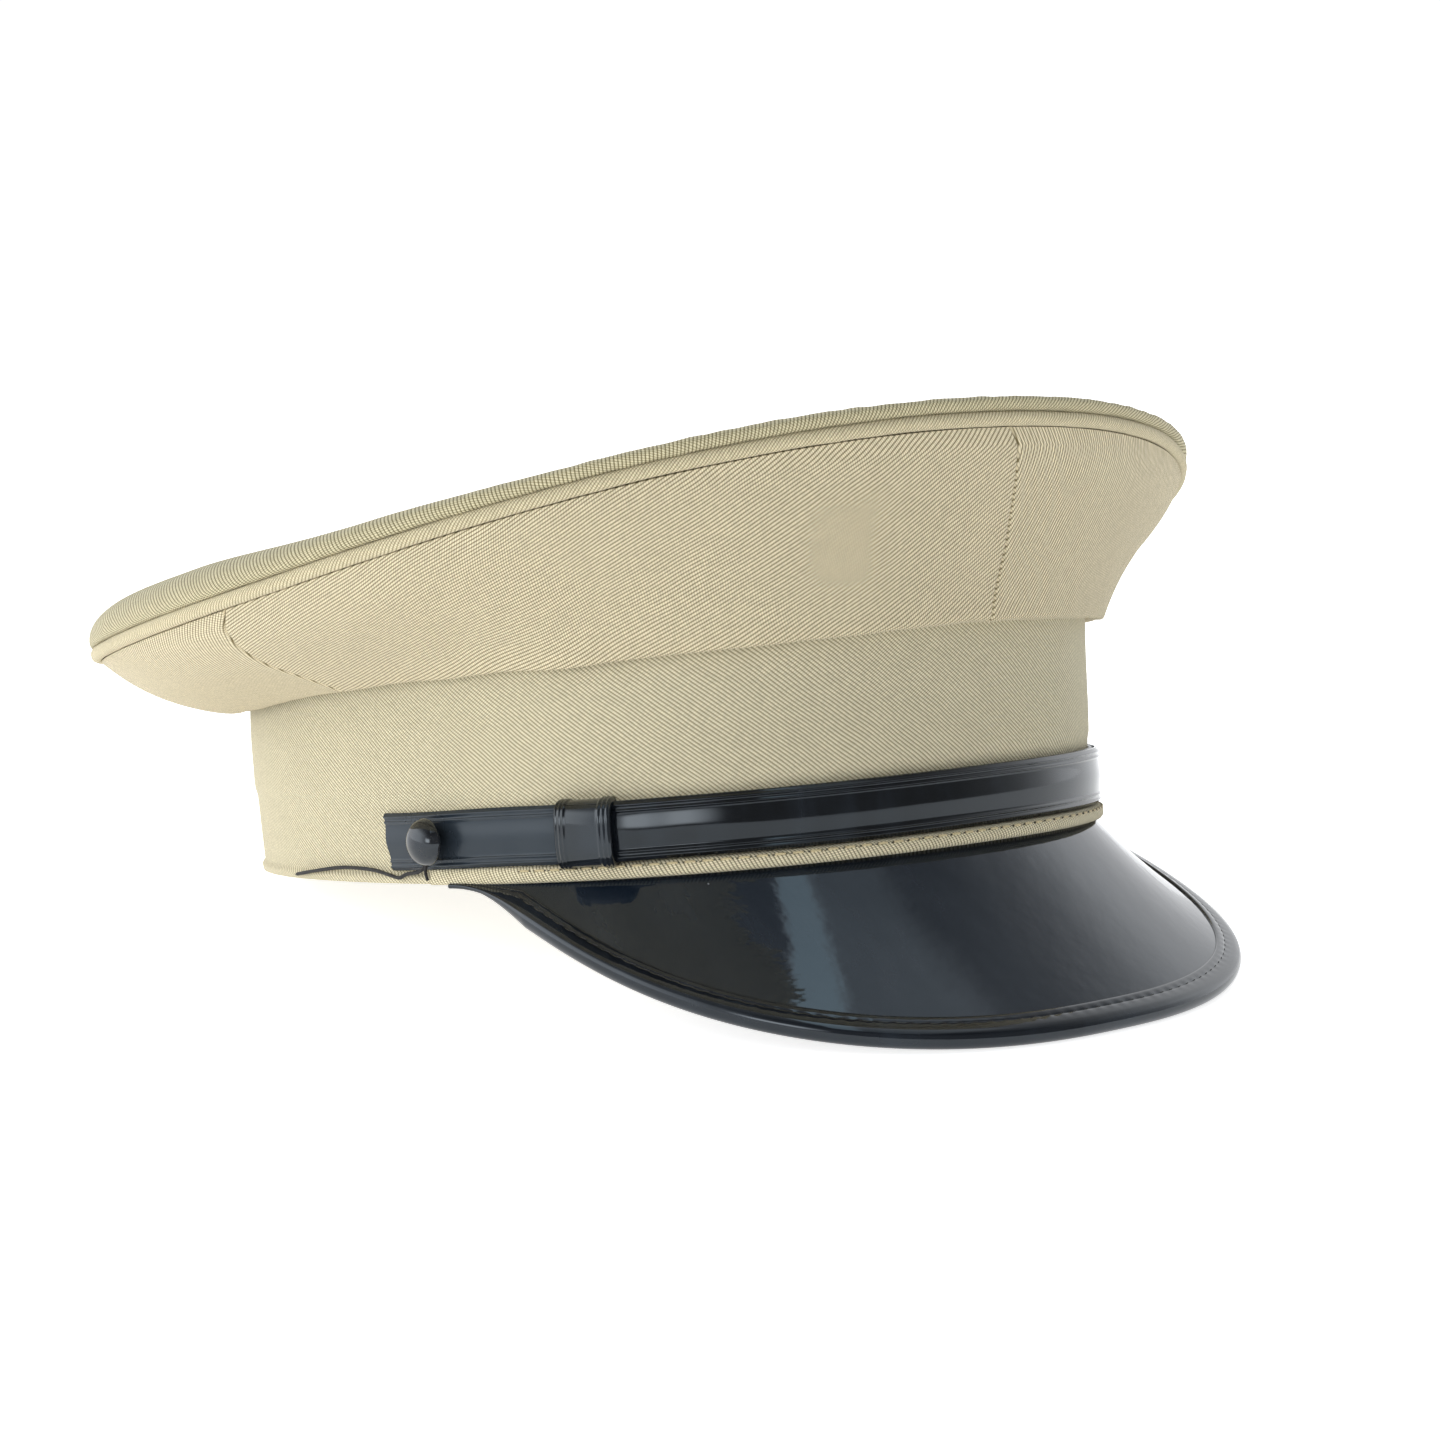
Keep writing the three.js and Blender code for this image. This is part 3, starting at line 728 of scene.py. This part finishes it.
def top_panel():
    centre = Vector((0, RIM["shift"]))
    sections, places = [], []
    for turn in even(-180, 180, 480):
        rim = oval(RIM, turn)
        reach = (rim - centre).length
        way = (rim - centre) / reach
        path = [Vector(p) for p in top_path(reach, crown_row(turn)["lift"])]
        total = lengths_along(path)
        outside, inside, place = [], [], []
        for k, point in enumerate(path):
            along = heading(path, k)
            under = Vector((along.y, -along.x)) * CLOTH
            in_share = 1 - point.x / reach
            gathers = 0.28 * rough(turn / 1.7, k / 3, 4.2) * hill(total[k] - 5, 5)
            soft = 1.1 * rough(rim.x * in_share / 45, rim.y * in_share / 45, 0.6) * eased(total[k], 10, 60)
            for shift, face in ((Vector((0, 0)), outside), (under, inside)):
                p = rim - way * min(reach - MIDDLE_RING, point.x + shift.x)
                height = rim_height(p.y) + point.y + shift.y + gathers + soft
                face.append(Vector((p.x, p.y, height)))
            from_middle = max(MIDDLE_RING, total[-1] - total[k])
            place.append(turned((from_middle * way.x, from_middle * way.y), 50))
        sections.append(outside + inside[::-1])
        places.append(place + place[::-1])
    how = {"ring": True, "filled": True, "nodes": ["crown_top"]}
    return skin("crown_top_panel", sections[:-1], places, TOP_CLOTH, "khaki_twill", **how)


top_panel()


# Band and hem


def band_outside(turn, z):
    up = z - band_bottom(turn)
    hem = mix(HEM_SIDE, HEM_FRONT, frontness(turn))
    strap_top = STRAP_BOTTOM + STRAP_WIDTH
    if up < HEM_HEIGHT / 2:
        return hem * mix(0.6, 1, sin(pi / 2 * up / (HEM_HEIGHT / 2)))
    if up < HEM_HEIGHT:
        return mix(-STRAP_DENT, hem, cos(pi / 2 * (up / HEM_HEIGHT * 2 - 1)))
    return mix(-STRAP_DENT, 0, eased(up, strap_top + 1, strap_top + 4))


def head_band():
    hem_rows = even(0, HEM_HEIGHT, 8)
    sections, places = [], []
    for turn in even(-180, 180, 360):
        bottom, top = band_bottom(turn), crown_row(turn)["seam"]
        heights = [bottom + h for h in hem_rows] + even(bottom + 3.4, top - 0.1, 26)
        outside, inside, place = [], [], []
        for z in heights:
            up = (z - bottom) / (top - bottom)
            wave = 0.35 * rough(turn / 22, up * 2, 6.6) + 0.12 * rough(turn / 5, up * 5, 2.2)
            wave *= eased(up, 0.08, 0.35) * eased(1 - up, 0, 0.1)
            out = band_outside(turn, z) + wave
            outside.append(on_band(turn, out, z))
            inside.append(on_band(turn, -BAND_WALL, z))
            place.append(turned((round_length(turn), z), -38))
        sections.append(outside + inside[::-1])
        places.append(place + place[::-1])
    return skin("head_band", sections[:-1], places, BAND_CLOTH, "khaki_twill", ring=True, nodes=["band"])


head_band()

# The narrow tape along the hem over the visor: height over the band's edge, and how far out it lies,
# as a share of the hem and a plain distance.
TAPE_SECTION = table(
    "up share out",
    (-0.25, 0.5, 0.1),
    (0.0, 0.82, 0.3),
    (0.5, 0.97, 0.4),
    (1.2, 1.0, 0.42),
    (1.9, 0.98, 0.4),
    (2.4, 0.9, 0.36),
    (2.9, 0.7, 0.26),
    (3.25, 0.38, 0.08),
    (3.25, 0, -0.5),
    (2.6, 0.2, -0.5),
    (1.2, 0.6, 0.0),
    (-0.1, 0.3, 0.0),
)


def tape_point(turn, row):
    hem = mix(HEM_SIDE, HEM_FRONT, frontness(turn))
    z = band_bottom(turn) + row["up"]
    return on_band(turn, hem * row["share"] + row["out"], z)


def hem_tape():
    sections, places = [], []
    for turn in even(-TAPE_TURN, TAPE_TURN, 420):
        pucker = 0.09 * sin(2 * pi * round_length(turn) / TAPE_PITCH)
        section = []
        for row in TAPE_SECTION:
            moved = dict(row, out=row["out"] + (pucker if 1.9 <= row["up"] <= 2.9 else 0))
            section.append(tape_point(turn, moved))
        sections.append(section)
        places.append([turned((round_length(turn), across), -62) for across in lengths_along(section)])
    return skin("visor_seam_tape", sections, places, HEM_CLOTH, "khaki_twill", sharp=80)


hem_tape()


def stitch_row(name, spots, length, radius, material, bow=0.25):
    """Short threads. A spot holds a middle, a direction along the row and the surface's normal."""
    bm = bmesh.new()
    cloth_map = bm.loops.layers.uv.new("cloth")
    rings, sides = 7, 6
    for middle, along, normal in spots:
        across = normal.cross(along).normalized()
        tube = []
        for i in range(rings):
            t = 2 * i / (rings - 1) - 1
            centre = middle + along * (t * length / 2) + normal * (bow * (1 - t * t) - 0.1)
            thick = radius * sqrt(max(0.04, 1 - abs(t) ** 5))
            ring = []
            for k in range(sides):
                angle = 2 * pi * k / sides
                spoke = (across * cos(angle) + normal * sin(angle)) * thick
                ring.append(bm.verts.new(standing(centre + spoke)))
            tube.append(ring)
        for i in range(rings - 1):
            for k in range(sides):
                up = (k + 1) % sides
                face = bm.faces.new([tube[i][k], tube[i + 1][k], tube[i + 1][up], tube[i][up]])
                face.smooth = True
                for loop, (a, b) in zip(face.loops, ((i, k), (i + 1, k), (i + 1, k + 1), (i, k + 1))):
                    loop[cloth_map].uv = ((a / (rings - 1) - 0.5) * length, b * 0.35)
        bm.faces.new(tube[0])
        bm.faces.new(tube[-1])
    return finished(bm, name, material, 80)


def tape_stitches():
    row = {"up": 2.45, "share": 0.88, "out": 0.35}
    spots = []
    start, end = round_length(-STITCHED_TURN), round_length(STITCHED_TURN)
    count = int((end - start) / TAPE_PITCH)
    for i in range(count + 1):
        turn = turn_at(start + (end - start) * i / count)
        here, ahead = tape_point(turn, row), tape_point(turn + 0.2, row)
        above = tape_point(turn, {"up": 2.9, "share": 0.7, "out": 0.26})
        along = (ahead - here).normalized()
        normal = along.cross((above - here).normalized()).normalized()
        if normal.dot(Vector((here.x, here.y, 0))) < 0:
            normal.negate()
        spots.append((here, along, normal))
    return stitch_row("visor_seam_stitches", spots, TAPE_STITCH, 0.27, TAN_THREAD, 0.24)


tape_stitches()


# Visor


def visor_shape(share):
    full = (1 - abs(share) ** 2.8) ** 2.3
    length = mix(VISOR_TIP, VISOR_LENGTH, full)
    slope = radians(VISOR_SLOPE + VISOR_SLOPE_GAIN * share**2)
    taper = held(length / 9, 0.25, 1)
    return length, slope, taper, min(BINDING_FLAP, length * 0.7)


def visor_top(share):
    return band_bottom(share * VISOR_TURN) - 0.4 + 0.8 * eased(abs(share), 0.72, 1)


def visor_point(share, along, over):
    length, slope, _, _ = visor_shape(share)
    turn = share * VISOR_TURN
    raised = over - VISOR_HOLLOW * min(1, length / 40) * sin(pi * min(along, length) / length)
    out = 0.4 + along * cos(slope) + raised * sin(slope)
    z = visor_top(share) - along * sin(slope) + raised * cos(slope)
    return off_band(turn, band_lean(turn, 0) + out, z)


def visor_sheet():
    sections, places = [], []
    for share in even(-1, 1, 240):
        length, _, taper, _ = visor_shape(share)
        thick = VISOR_SHEET * taper
        rows = even(0, length - 1.2 * taper, 28)
        faces = []
        for over in (0, -thick):
            faces.append([visor_point(share, along, over) for along in rows])
        turn = share * VISOR_TURN
        top = visor_top(share)
        lean = band_lean(turn, 0) - 2.2
        inner = [off_band(turn, lean, top), off_band(turn, lean, top - thick)]
        sections.append([inner[0], *faces[0], *faces[1][::-1], inner[1]])
        run = round_length(turn) - round_length(0)
        row_places = [(run * (1 + along / 160), along) for along in rows]
        places.append([(run, -2), *row_places, *row_places[::-1], (run, -2)])
    return skin("visor", sections, places, VISOR_PATENT, "patent_black", sharp=60, nodes=["peak"])


visor_sheet()

# The binding's outside: distance from its inner edge as a share of the flap, and height over the visor.
BINDING_TOP = table(
    "in over",
    *((1.0, 0.1), (0.985, 0.36), (0.93, 0.52), (0.82, 0.62), (0.7, 0.68), (0.64, 0.66)),
    *((0.6, 0.58), (0.56, 0.67), (0.46, 0.82), (0.3, 1.02), (0.15, 1.18)),
)


def binding_path():
    """Distance along the visor's edge at evenly spaced shares."""
    shares = even(-1, 1, 800)
    return shares, lengths_along([visor_point(s, visor_shape(s)[0], 0) for s in shares])


EDGE_SHARES, EDGE_RUN = binding_path()


def visor_binding():
    sections, places = [], []
    for share, run in zip(EDGE_SHARES, EDGE_RUN):
        length, _, taper, flap = visor_shape(share)
        thick, bead = VISOR_SHEET * taper, BINDING_BEAD * taper
        inner, edge = length - flap, length - BINDING_EDGE * taper
        pucker = 0.03 * cos(2 * pi * run / STITCH_PITCH) * taper
        top = []
        for row in BINDING_TOP:
            near_stitch = hill(row["in"] - BINDING_SEAM, 0.16)
            top.append((length - flap * row["in"], row["over"] * taper - pucker * near_stitch))
        outer = []
        for angle in range(80, -100, -15):
            c, s = arc(angle)
            outer.append((length + bead * c, bead * s - thick / 2))
        back = [(length - flap * 0.4, -thick - BINDING_UNDER * taper), (inner, -thick - 0.75 * taper)]
        inside = [(inner, -thick), (edge, -thick), (edge, 0), (inner, 0)]
        section = [visor_point(share, along, over) for along, over in top + outer + back + inside]
        sections.append(section)
        places.append([(run, across) for across in lengths_along(section)])
    nodes = ["peak_binding"]
    return skin("visor_binding", sections, places, EDGE_PATENT, "patent_black", sharp=70, nodes=nodes)


visor_binding()


def binding_stitches():
    spots, k = [], 0
    count = int(EDGE_RUN[-1] / STITCH_PITCH)
    for i in range(3, count - 2):
        wanted = STITCH_PITCH * (i + 0.5)
        while EDGE_RUN[k + 1] < wanted:
            k += 1
        past = (wanted - EDGE_RUN[k]) / (EDGE_RUN[k + 1] - EDGE_RUN[k])
        share = mix(EDGE_SHARES[k], EDGE_SHARES[k + 1], past)
        length, _, taper, flap = visor_shape(share)
        if taper < 0.9:
            continue
        lie, step = flap * BINDING_SEAM, 0.002
        here = visor_point(share, length - lie, 0.56)
        ahead = visor_point(share + step, visor_shape(share + step)[0] - lie, 0.56)
        over = visor_point(share, length - lie, 1.56)
        normal = (over - here).normalized()
        along = (ahead - here).normalized()
        along = (along + normal.cross(along) * 0.1).normalized()
        spots.append((here, along, normal))
    return stitch_row("visor_binding_stitches", spots, 2.0, 0.16, BLACK_THREAD, 0.12)


binding_stitches()


# Straps, keepers and buttons


def strap_bottom(turn):
    return STRAP_BOTTOM + band_bottom(turn) - 0.25 - 0.65 * eased(abs(turn), 62, 84)


def lower_layer(turn):
    away = min(abs(turn + KEEPER_RIGHT), abs(turn - KEEPER_LEFT))
    return LAYER_GAP - STRAP_DENT + (KEEPER_WALL + LAYER_GAP) * (1 - eased(away, 4, 11))


def left_layer(turn):
    """The left strap lies on the right one until it is past the keeper on its own side."""
    past = eased(turn - KEEPER_LEFT - KEEPER_SPREAD / 2, 0.5, 7)
    return mix(lower_layer(turn) + STRAP_THICK + LAYER_GAP, lower_layer(turn), past)


def strap_relief(up):
    """Ribs pressed along both edges of the strap, in mm over its face, by share of its width."""
    from_edge = min(up, 1 - up) * STRAP_WIDTH
    ribs = sum(STRAP_RIB_HEIGHT * hill(from_edge - at, STRAP_RIB_WIDTH) for at in STRAP_RIBS)
    edge = -0.35 * hill(from_edge, 0.3)
    belly = 0.34 * eased(from_edge, 2.5, 6.3)
    return ribs + edge + belly


def strap_piece(name, node, start, end, layer, material, cut):
    across = even(0, 1, 76)
    sections, places = [], []
    for turn in even(start, end, 260):
        outside, inside, place = [], [], []
        for up in across:
            t = turn
            for edge_turn, side in ((start, 1), (end, -1)):
                if abs(edge_turn) == STRAP_END:
                    slant = cut * (up - 0.5) + 0.1 * sin(up * 9)
                    t += side * slant * hill(turn - edge_turn, 2.5)
            bottom = strap_bottom(t)
            z = bottom + up * STRAP_WIDTH
            wave = 0.05 * rough(t / 9, up * 1.5, 9.1)
            out = layer(t) + STRAP_THICK + strap_relief(up) * 0.85 - 0.15 + wave
            outside.append(off_band(t, band_lean(t, z) + out, z))
            inside.append(off_band(t, band_lean(t, z) + layer(t) + wave * 0.5, z))
            place.append((round_length(t), up * STRAP_WIDTH))
        sections.append(outside + inside[::-1])
        places.append(place + place[::-1])
    return skin(name, sections, places, material, "strap_black", sharp=75, nodes=[node])


# Each strap's far end is hidden under the keeper of the other side.
HIDDEN_END = 3 - KEEPER_SPREAD / 2
UNDER_LEFT, UNDER_RIGHT = KEEPER_LEFT + HIDDEN_END, -KEEPER_RIGHT - HIDDEN_END
strap_piece("strap_lower", "strap_right", -STRAP_END, UNDER_LEFT, lower_layer, LOWER_STRAP, -0.9)
strap_piece("strap_upper", "strap_left", UNDER_RIGHT, STRAP_END, left_layer, UPPER_STRAP, 0.9)


def keeper(name, node, middle):
    """A rounded sleeve round both straps, with three ribs along each of its open edges."""
    half = KEEPER_SPREAD / 2
    turns = even(middle - half, middle + half, 60)
    back = lower_layer(middle) - LAYER_GAP
    height = STRAP_WIDTH + 0.8
    loop = []
    for angle in even(90, -90, 30):
        c, s = arc(angle)
        side = 1 if s > 0 else -1
        loop.append((KEEPER_DEPTH * max(0, c) ** 0.6, height / 2 * abs(s) ** 0.55 * side, angle))
    loop += [(0.0, height / 2 * share, 180.0) for share in even(-0.8, 0.8, 6)]
    width = radians(2 * half) * (BAND["half_length"] + BAND["half_width"]) / 2
    sections, places = [], []
    for out_by, up_by, angle in loop:
        outer, inner, place_out = [], [], []
        for turn in turns:
            s = (turn - middle) / half
            from_edge = (1 - abs(s)) * width / 2
            ribs = KEEPER_RIB_HEIGHT * sum(hill(from_edge - at, 0.3) for at in KEEPER_RIBS)
            facing = cos(radians(angle)) if abs(angle) <= 90 else 0
            swell = 0.5 * (1 - s * s) * facing
            leaning = 0.5 * s * (1 if middle < 0 else -1) * facing
            lip = -0.25 * hill(from_edge, 0.25)
            middle_z = strap_bottom(turn) + STRAP_WIDTH / 2
            for grown, face in ((KEEPER_WALL / 2 + ribs + lip, outer), (-KEEPER_WALL / 2, inner)):
                z = middle_z + up_by + grown * sin(radians(angle))
                inwards = 0.25 * grown if abs(angle) > 90 else grown * cos(radians(angle))
                out = back + out_by + swell + leaning + inwards
                face.append(off_band(turn, band_lean(turn, z) + out, z))
            place_out.append((round_length(turn), up_by + out_by))
        sections.append(outer + inner[::-1])
        places.append(place_out + place_out[::-1])
    places.append(places[0])
    return skin(name, sections, places, KEEPER_GLOSS, "strap_black", ring=True, sharp=75, nodes=[node])


keeper("keeper_near", "keeper_right", -KEEPER_RIGHT)
keeper("keeper_far", "keeper_left", KEEPER_LEFT)


# The button's shank and the underside of its head, outwards from the strap.
BUTTON_FOOT = table(
    "radius height",
    *((1.6, 0), (1.6, 1.0), (1.75, 1.9), (2.6, 2.1), (4.3, 2.12)),
    *((4.9, 2.3), (5.12, 2.6), (5.2, 3.0), (5.14, 3.25)),
)


def side_button(name, node, side):
    turn = side * BUTTON_TURN
    layer = left_layer if side > 0 else lower_layer
    z = strap_bottom(turn) + STRAP_WIDTH / 2
    foot = on_band(turn, layer(turn) + STRAP_THICK + 0.1, z)
    flat = band_normal(turn)
    c, s = arc(side * BUTTON_TILT)
    axis = Vector((flat.x * c - flat.y * s, flat.x * s + flat.y * c, 0))
    side_way = Vector((-axis.y, axis.x, 0))
    up_way = Vector((0, 0, 1))
    profile = [(row["radius"], row["height"]) for row in BUTTON_FOOT]
    for angle in range(12, 91, 6):
        c, s = arc(angle)
        profile.append((BUTTON_BULGE * c, 3.0 + BUTTON_DOME * s))
    bm = bmesh.new()
    cloth_map = bm.loops.layers.uv.new("cloth")
    sides = 64
    rings = []
    for radius, height in profile:
        ring = []
        for k in range(sides):
            a = 2 * pi * k / sides
            spoke = (side_way * cos(a) + up_way * sin(a)) * max(radius, 0.001)
            ring.append(bm.verts.new(standing(foot + axis * height + spoke)))
        rings.append(ring)
    for i in range(len(rings) - 1):
        for k in range(sides):
            up = (k + 1) % sides
            face = bm.faces.new([rings[i][k], rings[i][up], rings[i + 1][up], rings[i + 1][k]])
            face.smooth = True
            for loop, (a, b) in zip(face.loops, ((i, k), (i, k + 1), (i + 1, k + 1), (i + 1, k))):
                r, h = profile[a]
                loop[cloth_map].uv = ((r + h) * cos(2 * pi * b / sides), (r + h) * sin(2 * pi * b / sides))
    bm.faces.new(rings[0])
    return finished(bm, name, BUTTON_GLOSS, 60, [node])


side_button("side_button_near", "button_right", -1)
side_button("side_button_far", "button_left", 1)

# Loose tail of the black seam thread under the near button, lying against the band's hem.
THREAD_TAIL = table(
    "turn out z",
    (-76.2, 1.2, 4.6),
    (-77.3, 1.35, 3.0),
    (-80.1, 1.3, 2.3),
    (-81.8, 1.2, 1.45),
    (-84.1, 1.05, 2.05),
    (-87.5, 0.5, 2.85),
    (-91.7, 0.2, 3.2),
    (-96.5, 0.3, 3.15),
    (-102.5, 0.9, 2.2),
    (-108.3, 1.3, 1.05),
)
THREAD_END = table("turn out z", (-76.0, 1.3, 4.6), (-76.3, 1.35, 2.9), (-76.1, 1.2, 0.9))


def strand(name, spots, radius, material, slot):
    """A thin round strand through its spots."""
    points = [on_band(s["turn"], s["out"], s["z"]) for s in spots]
    smooth = []
    for i in range(len(points) - 1):
        a, b = points[max(0, i - 1)], points[i]
        c, d = points[i + 1], points[min(len(points) - 1, i + 2)]
        square, cube = a * 2 - b * 5 + c * 4 - d, b * 3 - a - c * 3 + d
        for t in even(0, 1, 8)[:-1]:
            smooth.append((b * 2 + (c - a) * t + square * t * t + cube * t**3) / 2)
    smooth.append(points[-1])
    sections, places = [], []
    for i, (point, run) in enumerate(zip(smooth, lengths_along(smooth))):
        along = heading(smooth, i)
        across = along.cross(Vector((0, 0, 1))).normalized()
        over = across.cross(along)
        thin = radius * (0.35 if i == len(smooth) - 1 else 1 + 0.15 * rough(i / 3, 3.3))
        ring = [2 * pi * k / 8 for k in range(8)]
        sections.append([point + (across * cos(a) + over * sin(a)) * thin for a in ring])
        places.append([(run, a * radius) for a in ring])
    return skin(name, sections, places, material, slot, sharp=80)


strand("loose_thread_tail", THREAD_TAIL, 0.42, BLACK_THREAD, "patent_black")
strand("loose_thread_end", THREAD_END, 0.36, BLACK_THREAD, "patent_black")


# Floor, light and camera


def pale_floor():
    bm = bmesh.new()
    bmesh.ops.create_circle(bm, cap_ends=True, segments=96, radius=6)
    mesh = bpy.data.meshes.new("floor")
    bm.to_mesh(mesh)
    bm.free()
    material = bpy.data.materials.new("pale floor")
    material.use_nodes = True
    tree = material.node_tree
    grain = put(tree, "TexNoise", {"Scale": 3.0, "Detail": 2.0})
    tone = blended(tree, grain.outputs["Fac"], rgb(247, 247, 248), rgb(250, 250, 250))
    shader = tree.nodes["Principled BSDF"]
    tree.links.new(tone, shader.inputs["Base Color"])
    shader.inputs["Roughness"].default_value = 0.9
    shader.inputs["Emission Color"].default_value = (1, 1, 1, 1)
    shader.inputs["Emission Strength"].default_value = 0.75
    mesh.materials.append(material)
    floor = bpy.data.objects.new("floor", mesh)
    bpy.context.scene.collection.objects.link(floor)


def studio_sky():
    """A white tent, dim overhead and before the cap, with two soft panels for the gloss to mirror."""
    world = bpy.data.worlds.new("studio")
    bpy.context.scene.world = world
    world.use_nodes = True
    tree = world.node_tree
    tree.nodes.clear()
    way = put(tree, "TexCoord").outputs["Generated"]
    axes = put(tree, "SeparateXYZ", {0: way}).outputs

    def towards(direction):
        return put(tree, "VectorMath", {0: way, 1: direction}, operation="DOT_PRODUCT").outputs["Value"]

    def product(*values):
        """Each value is a socket, or the numbers of a range: what it measures, from, to, low and high."""
        parts = [ranged(tree, *v) if isinstance(v, tuple) else v for v in values]
        whole = parts[0]
        for part in parts[1:]:
            whole = times(tree, whole, part)
        return whole

    up, nose, near_back, far_back = axes["Z"], (-0.15, -0.98, 0.1), (-0.8, 0.6, 0), (0.5, 0.86, 0)
    wall = ranged(tree, towards(nose), -0.15, 0.72, 2.35, 0.25)
    wall = plus(tree, wall, ranged(tree, towards(near_back), 0.1, 0.9, 0.0, 0.55))
    tent = product(wall, (towards(far_back), 0.2, 0.9, 1.0, 0.55), (up, 0.42, 0.8, 1.0, 0.22))
    across = towards((1, -0.76, 0))
    bright, dimmer = (across, 0.05, 0.1), (across, 0.19, 0.25, 1.0, 0.3)
    ceiling = product(bright, dimmer, (across, 0.45, 0.6, 1.0, 0.0), (up, 0.74, 0.86))
    aside = maths(tree, "ABSOLUTE", towards((-0.551, 0.834, 0)))
    before = (towards((-0.834, -0.551, 0)), 0.5, 0.75)
    screen = product((aside, 0.08, 0.32, 1.0, 0.0), (up, 0.03, 0.14), (up, 0.25, 0.45, 1.0, 0.0), before)
    panels = plus(tree, product(ceiling, 2.0), product(screen, 5.5))
    strength = plus(tree, tent, panels)
    seen = put(tree, "LightPath").outputs["Is Camera Ray"]
    cool = blended(tree, ceiling, (0.97, 0.98, 1.0, 1), (0.72, 0.9, 1.0, 1))
    tint = blended(tree, seen, cool, (1, 1, 1, 1))
    unseen = times(tree, strength, minus(tree, 1.0, seen))
    level = plus(tree, unseen, times(tree, seen, 1.05))
    lit = put(tree, "Background", {"Color": tint, "Strength": level})
    put(tree, "OutputWorld", {"Surface": lit.outputs[0]})


def camera():
    turn, lift, roll = radians(50.5), radians(2.6), radians(3.9)
    back = Vector((-cos(turn) * cos(lift), -sin(turn) * cos(lift), sin(lift)))
    right = (-back).cross(Vector((0, 0, 1))).normalized()
    up = right.cross(-back)
    right, up = right * cos(roll) - up * sin(roll), right * sin(roll) + up * cos(roll)
    aim, distance = Vector((0, 0, 25)), 720
    place = aim + back * distance
    pose = Matrix((right, up, back)).transposed().to_4x4()
    seen = bpy.data.cameras.new("camera")
    seen.lens, seen.sensor_width = 74.3, 36
    seen.shift_x, seen.shift_y = 0.034, 0.0125
    seen.clip_start = 0.01
    holder = bpy.data.objects.new("camera", seen)
    holder.matrix_world = Matrix.Translation(standing(place)) @ (STANDING.to_3x3().to_4x4() @ pose)
    bpy.context.scene.collection.objects.link(holder)
    bpy.context.scene.camera = holder


pale_floor()
studio_sky()
camera()
bpy.context.scene.view_settings.view_transform = "Standard"
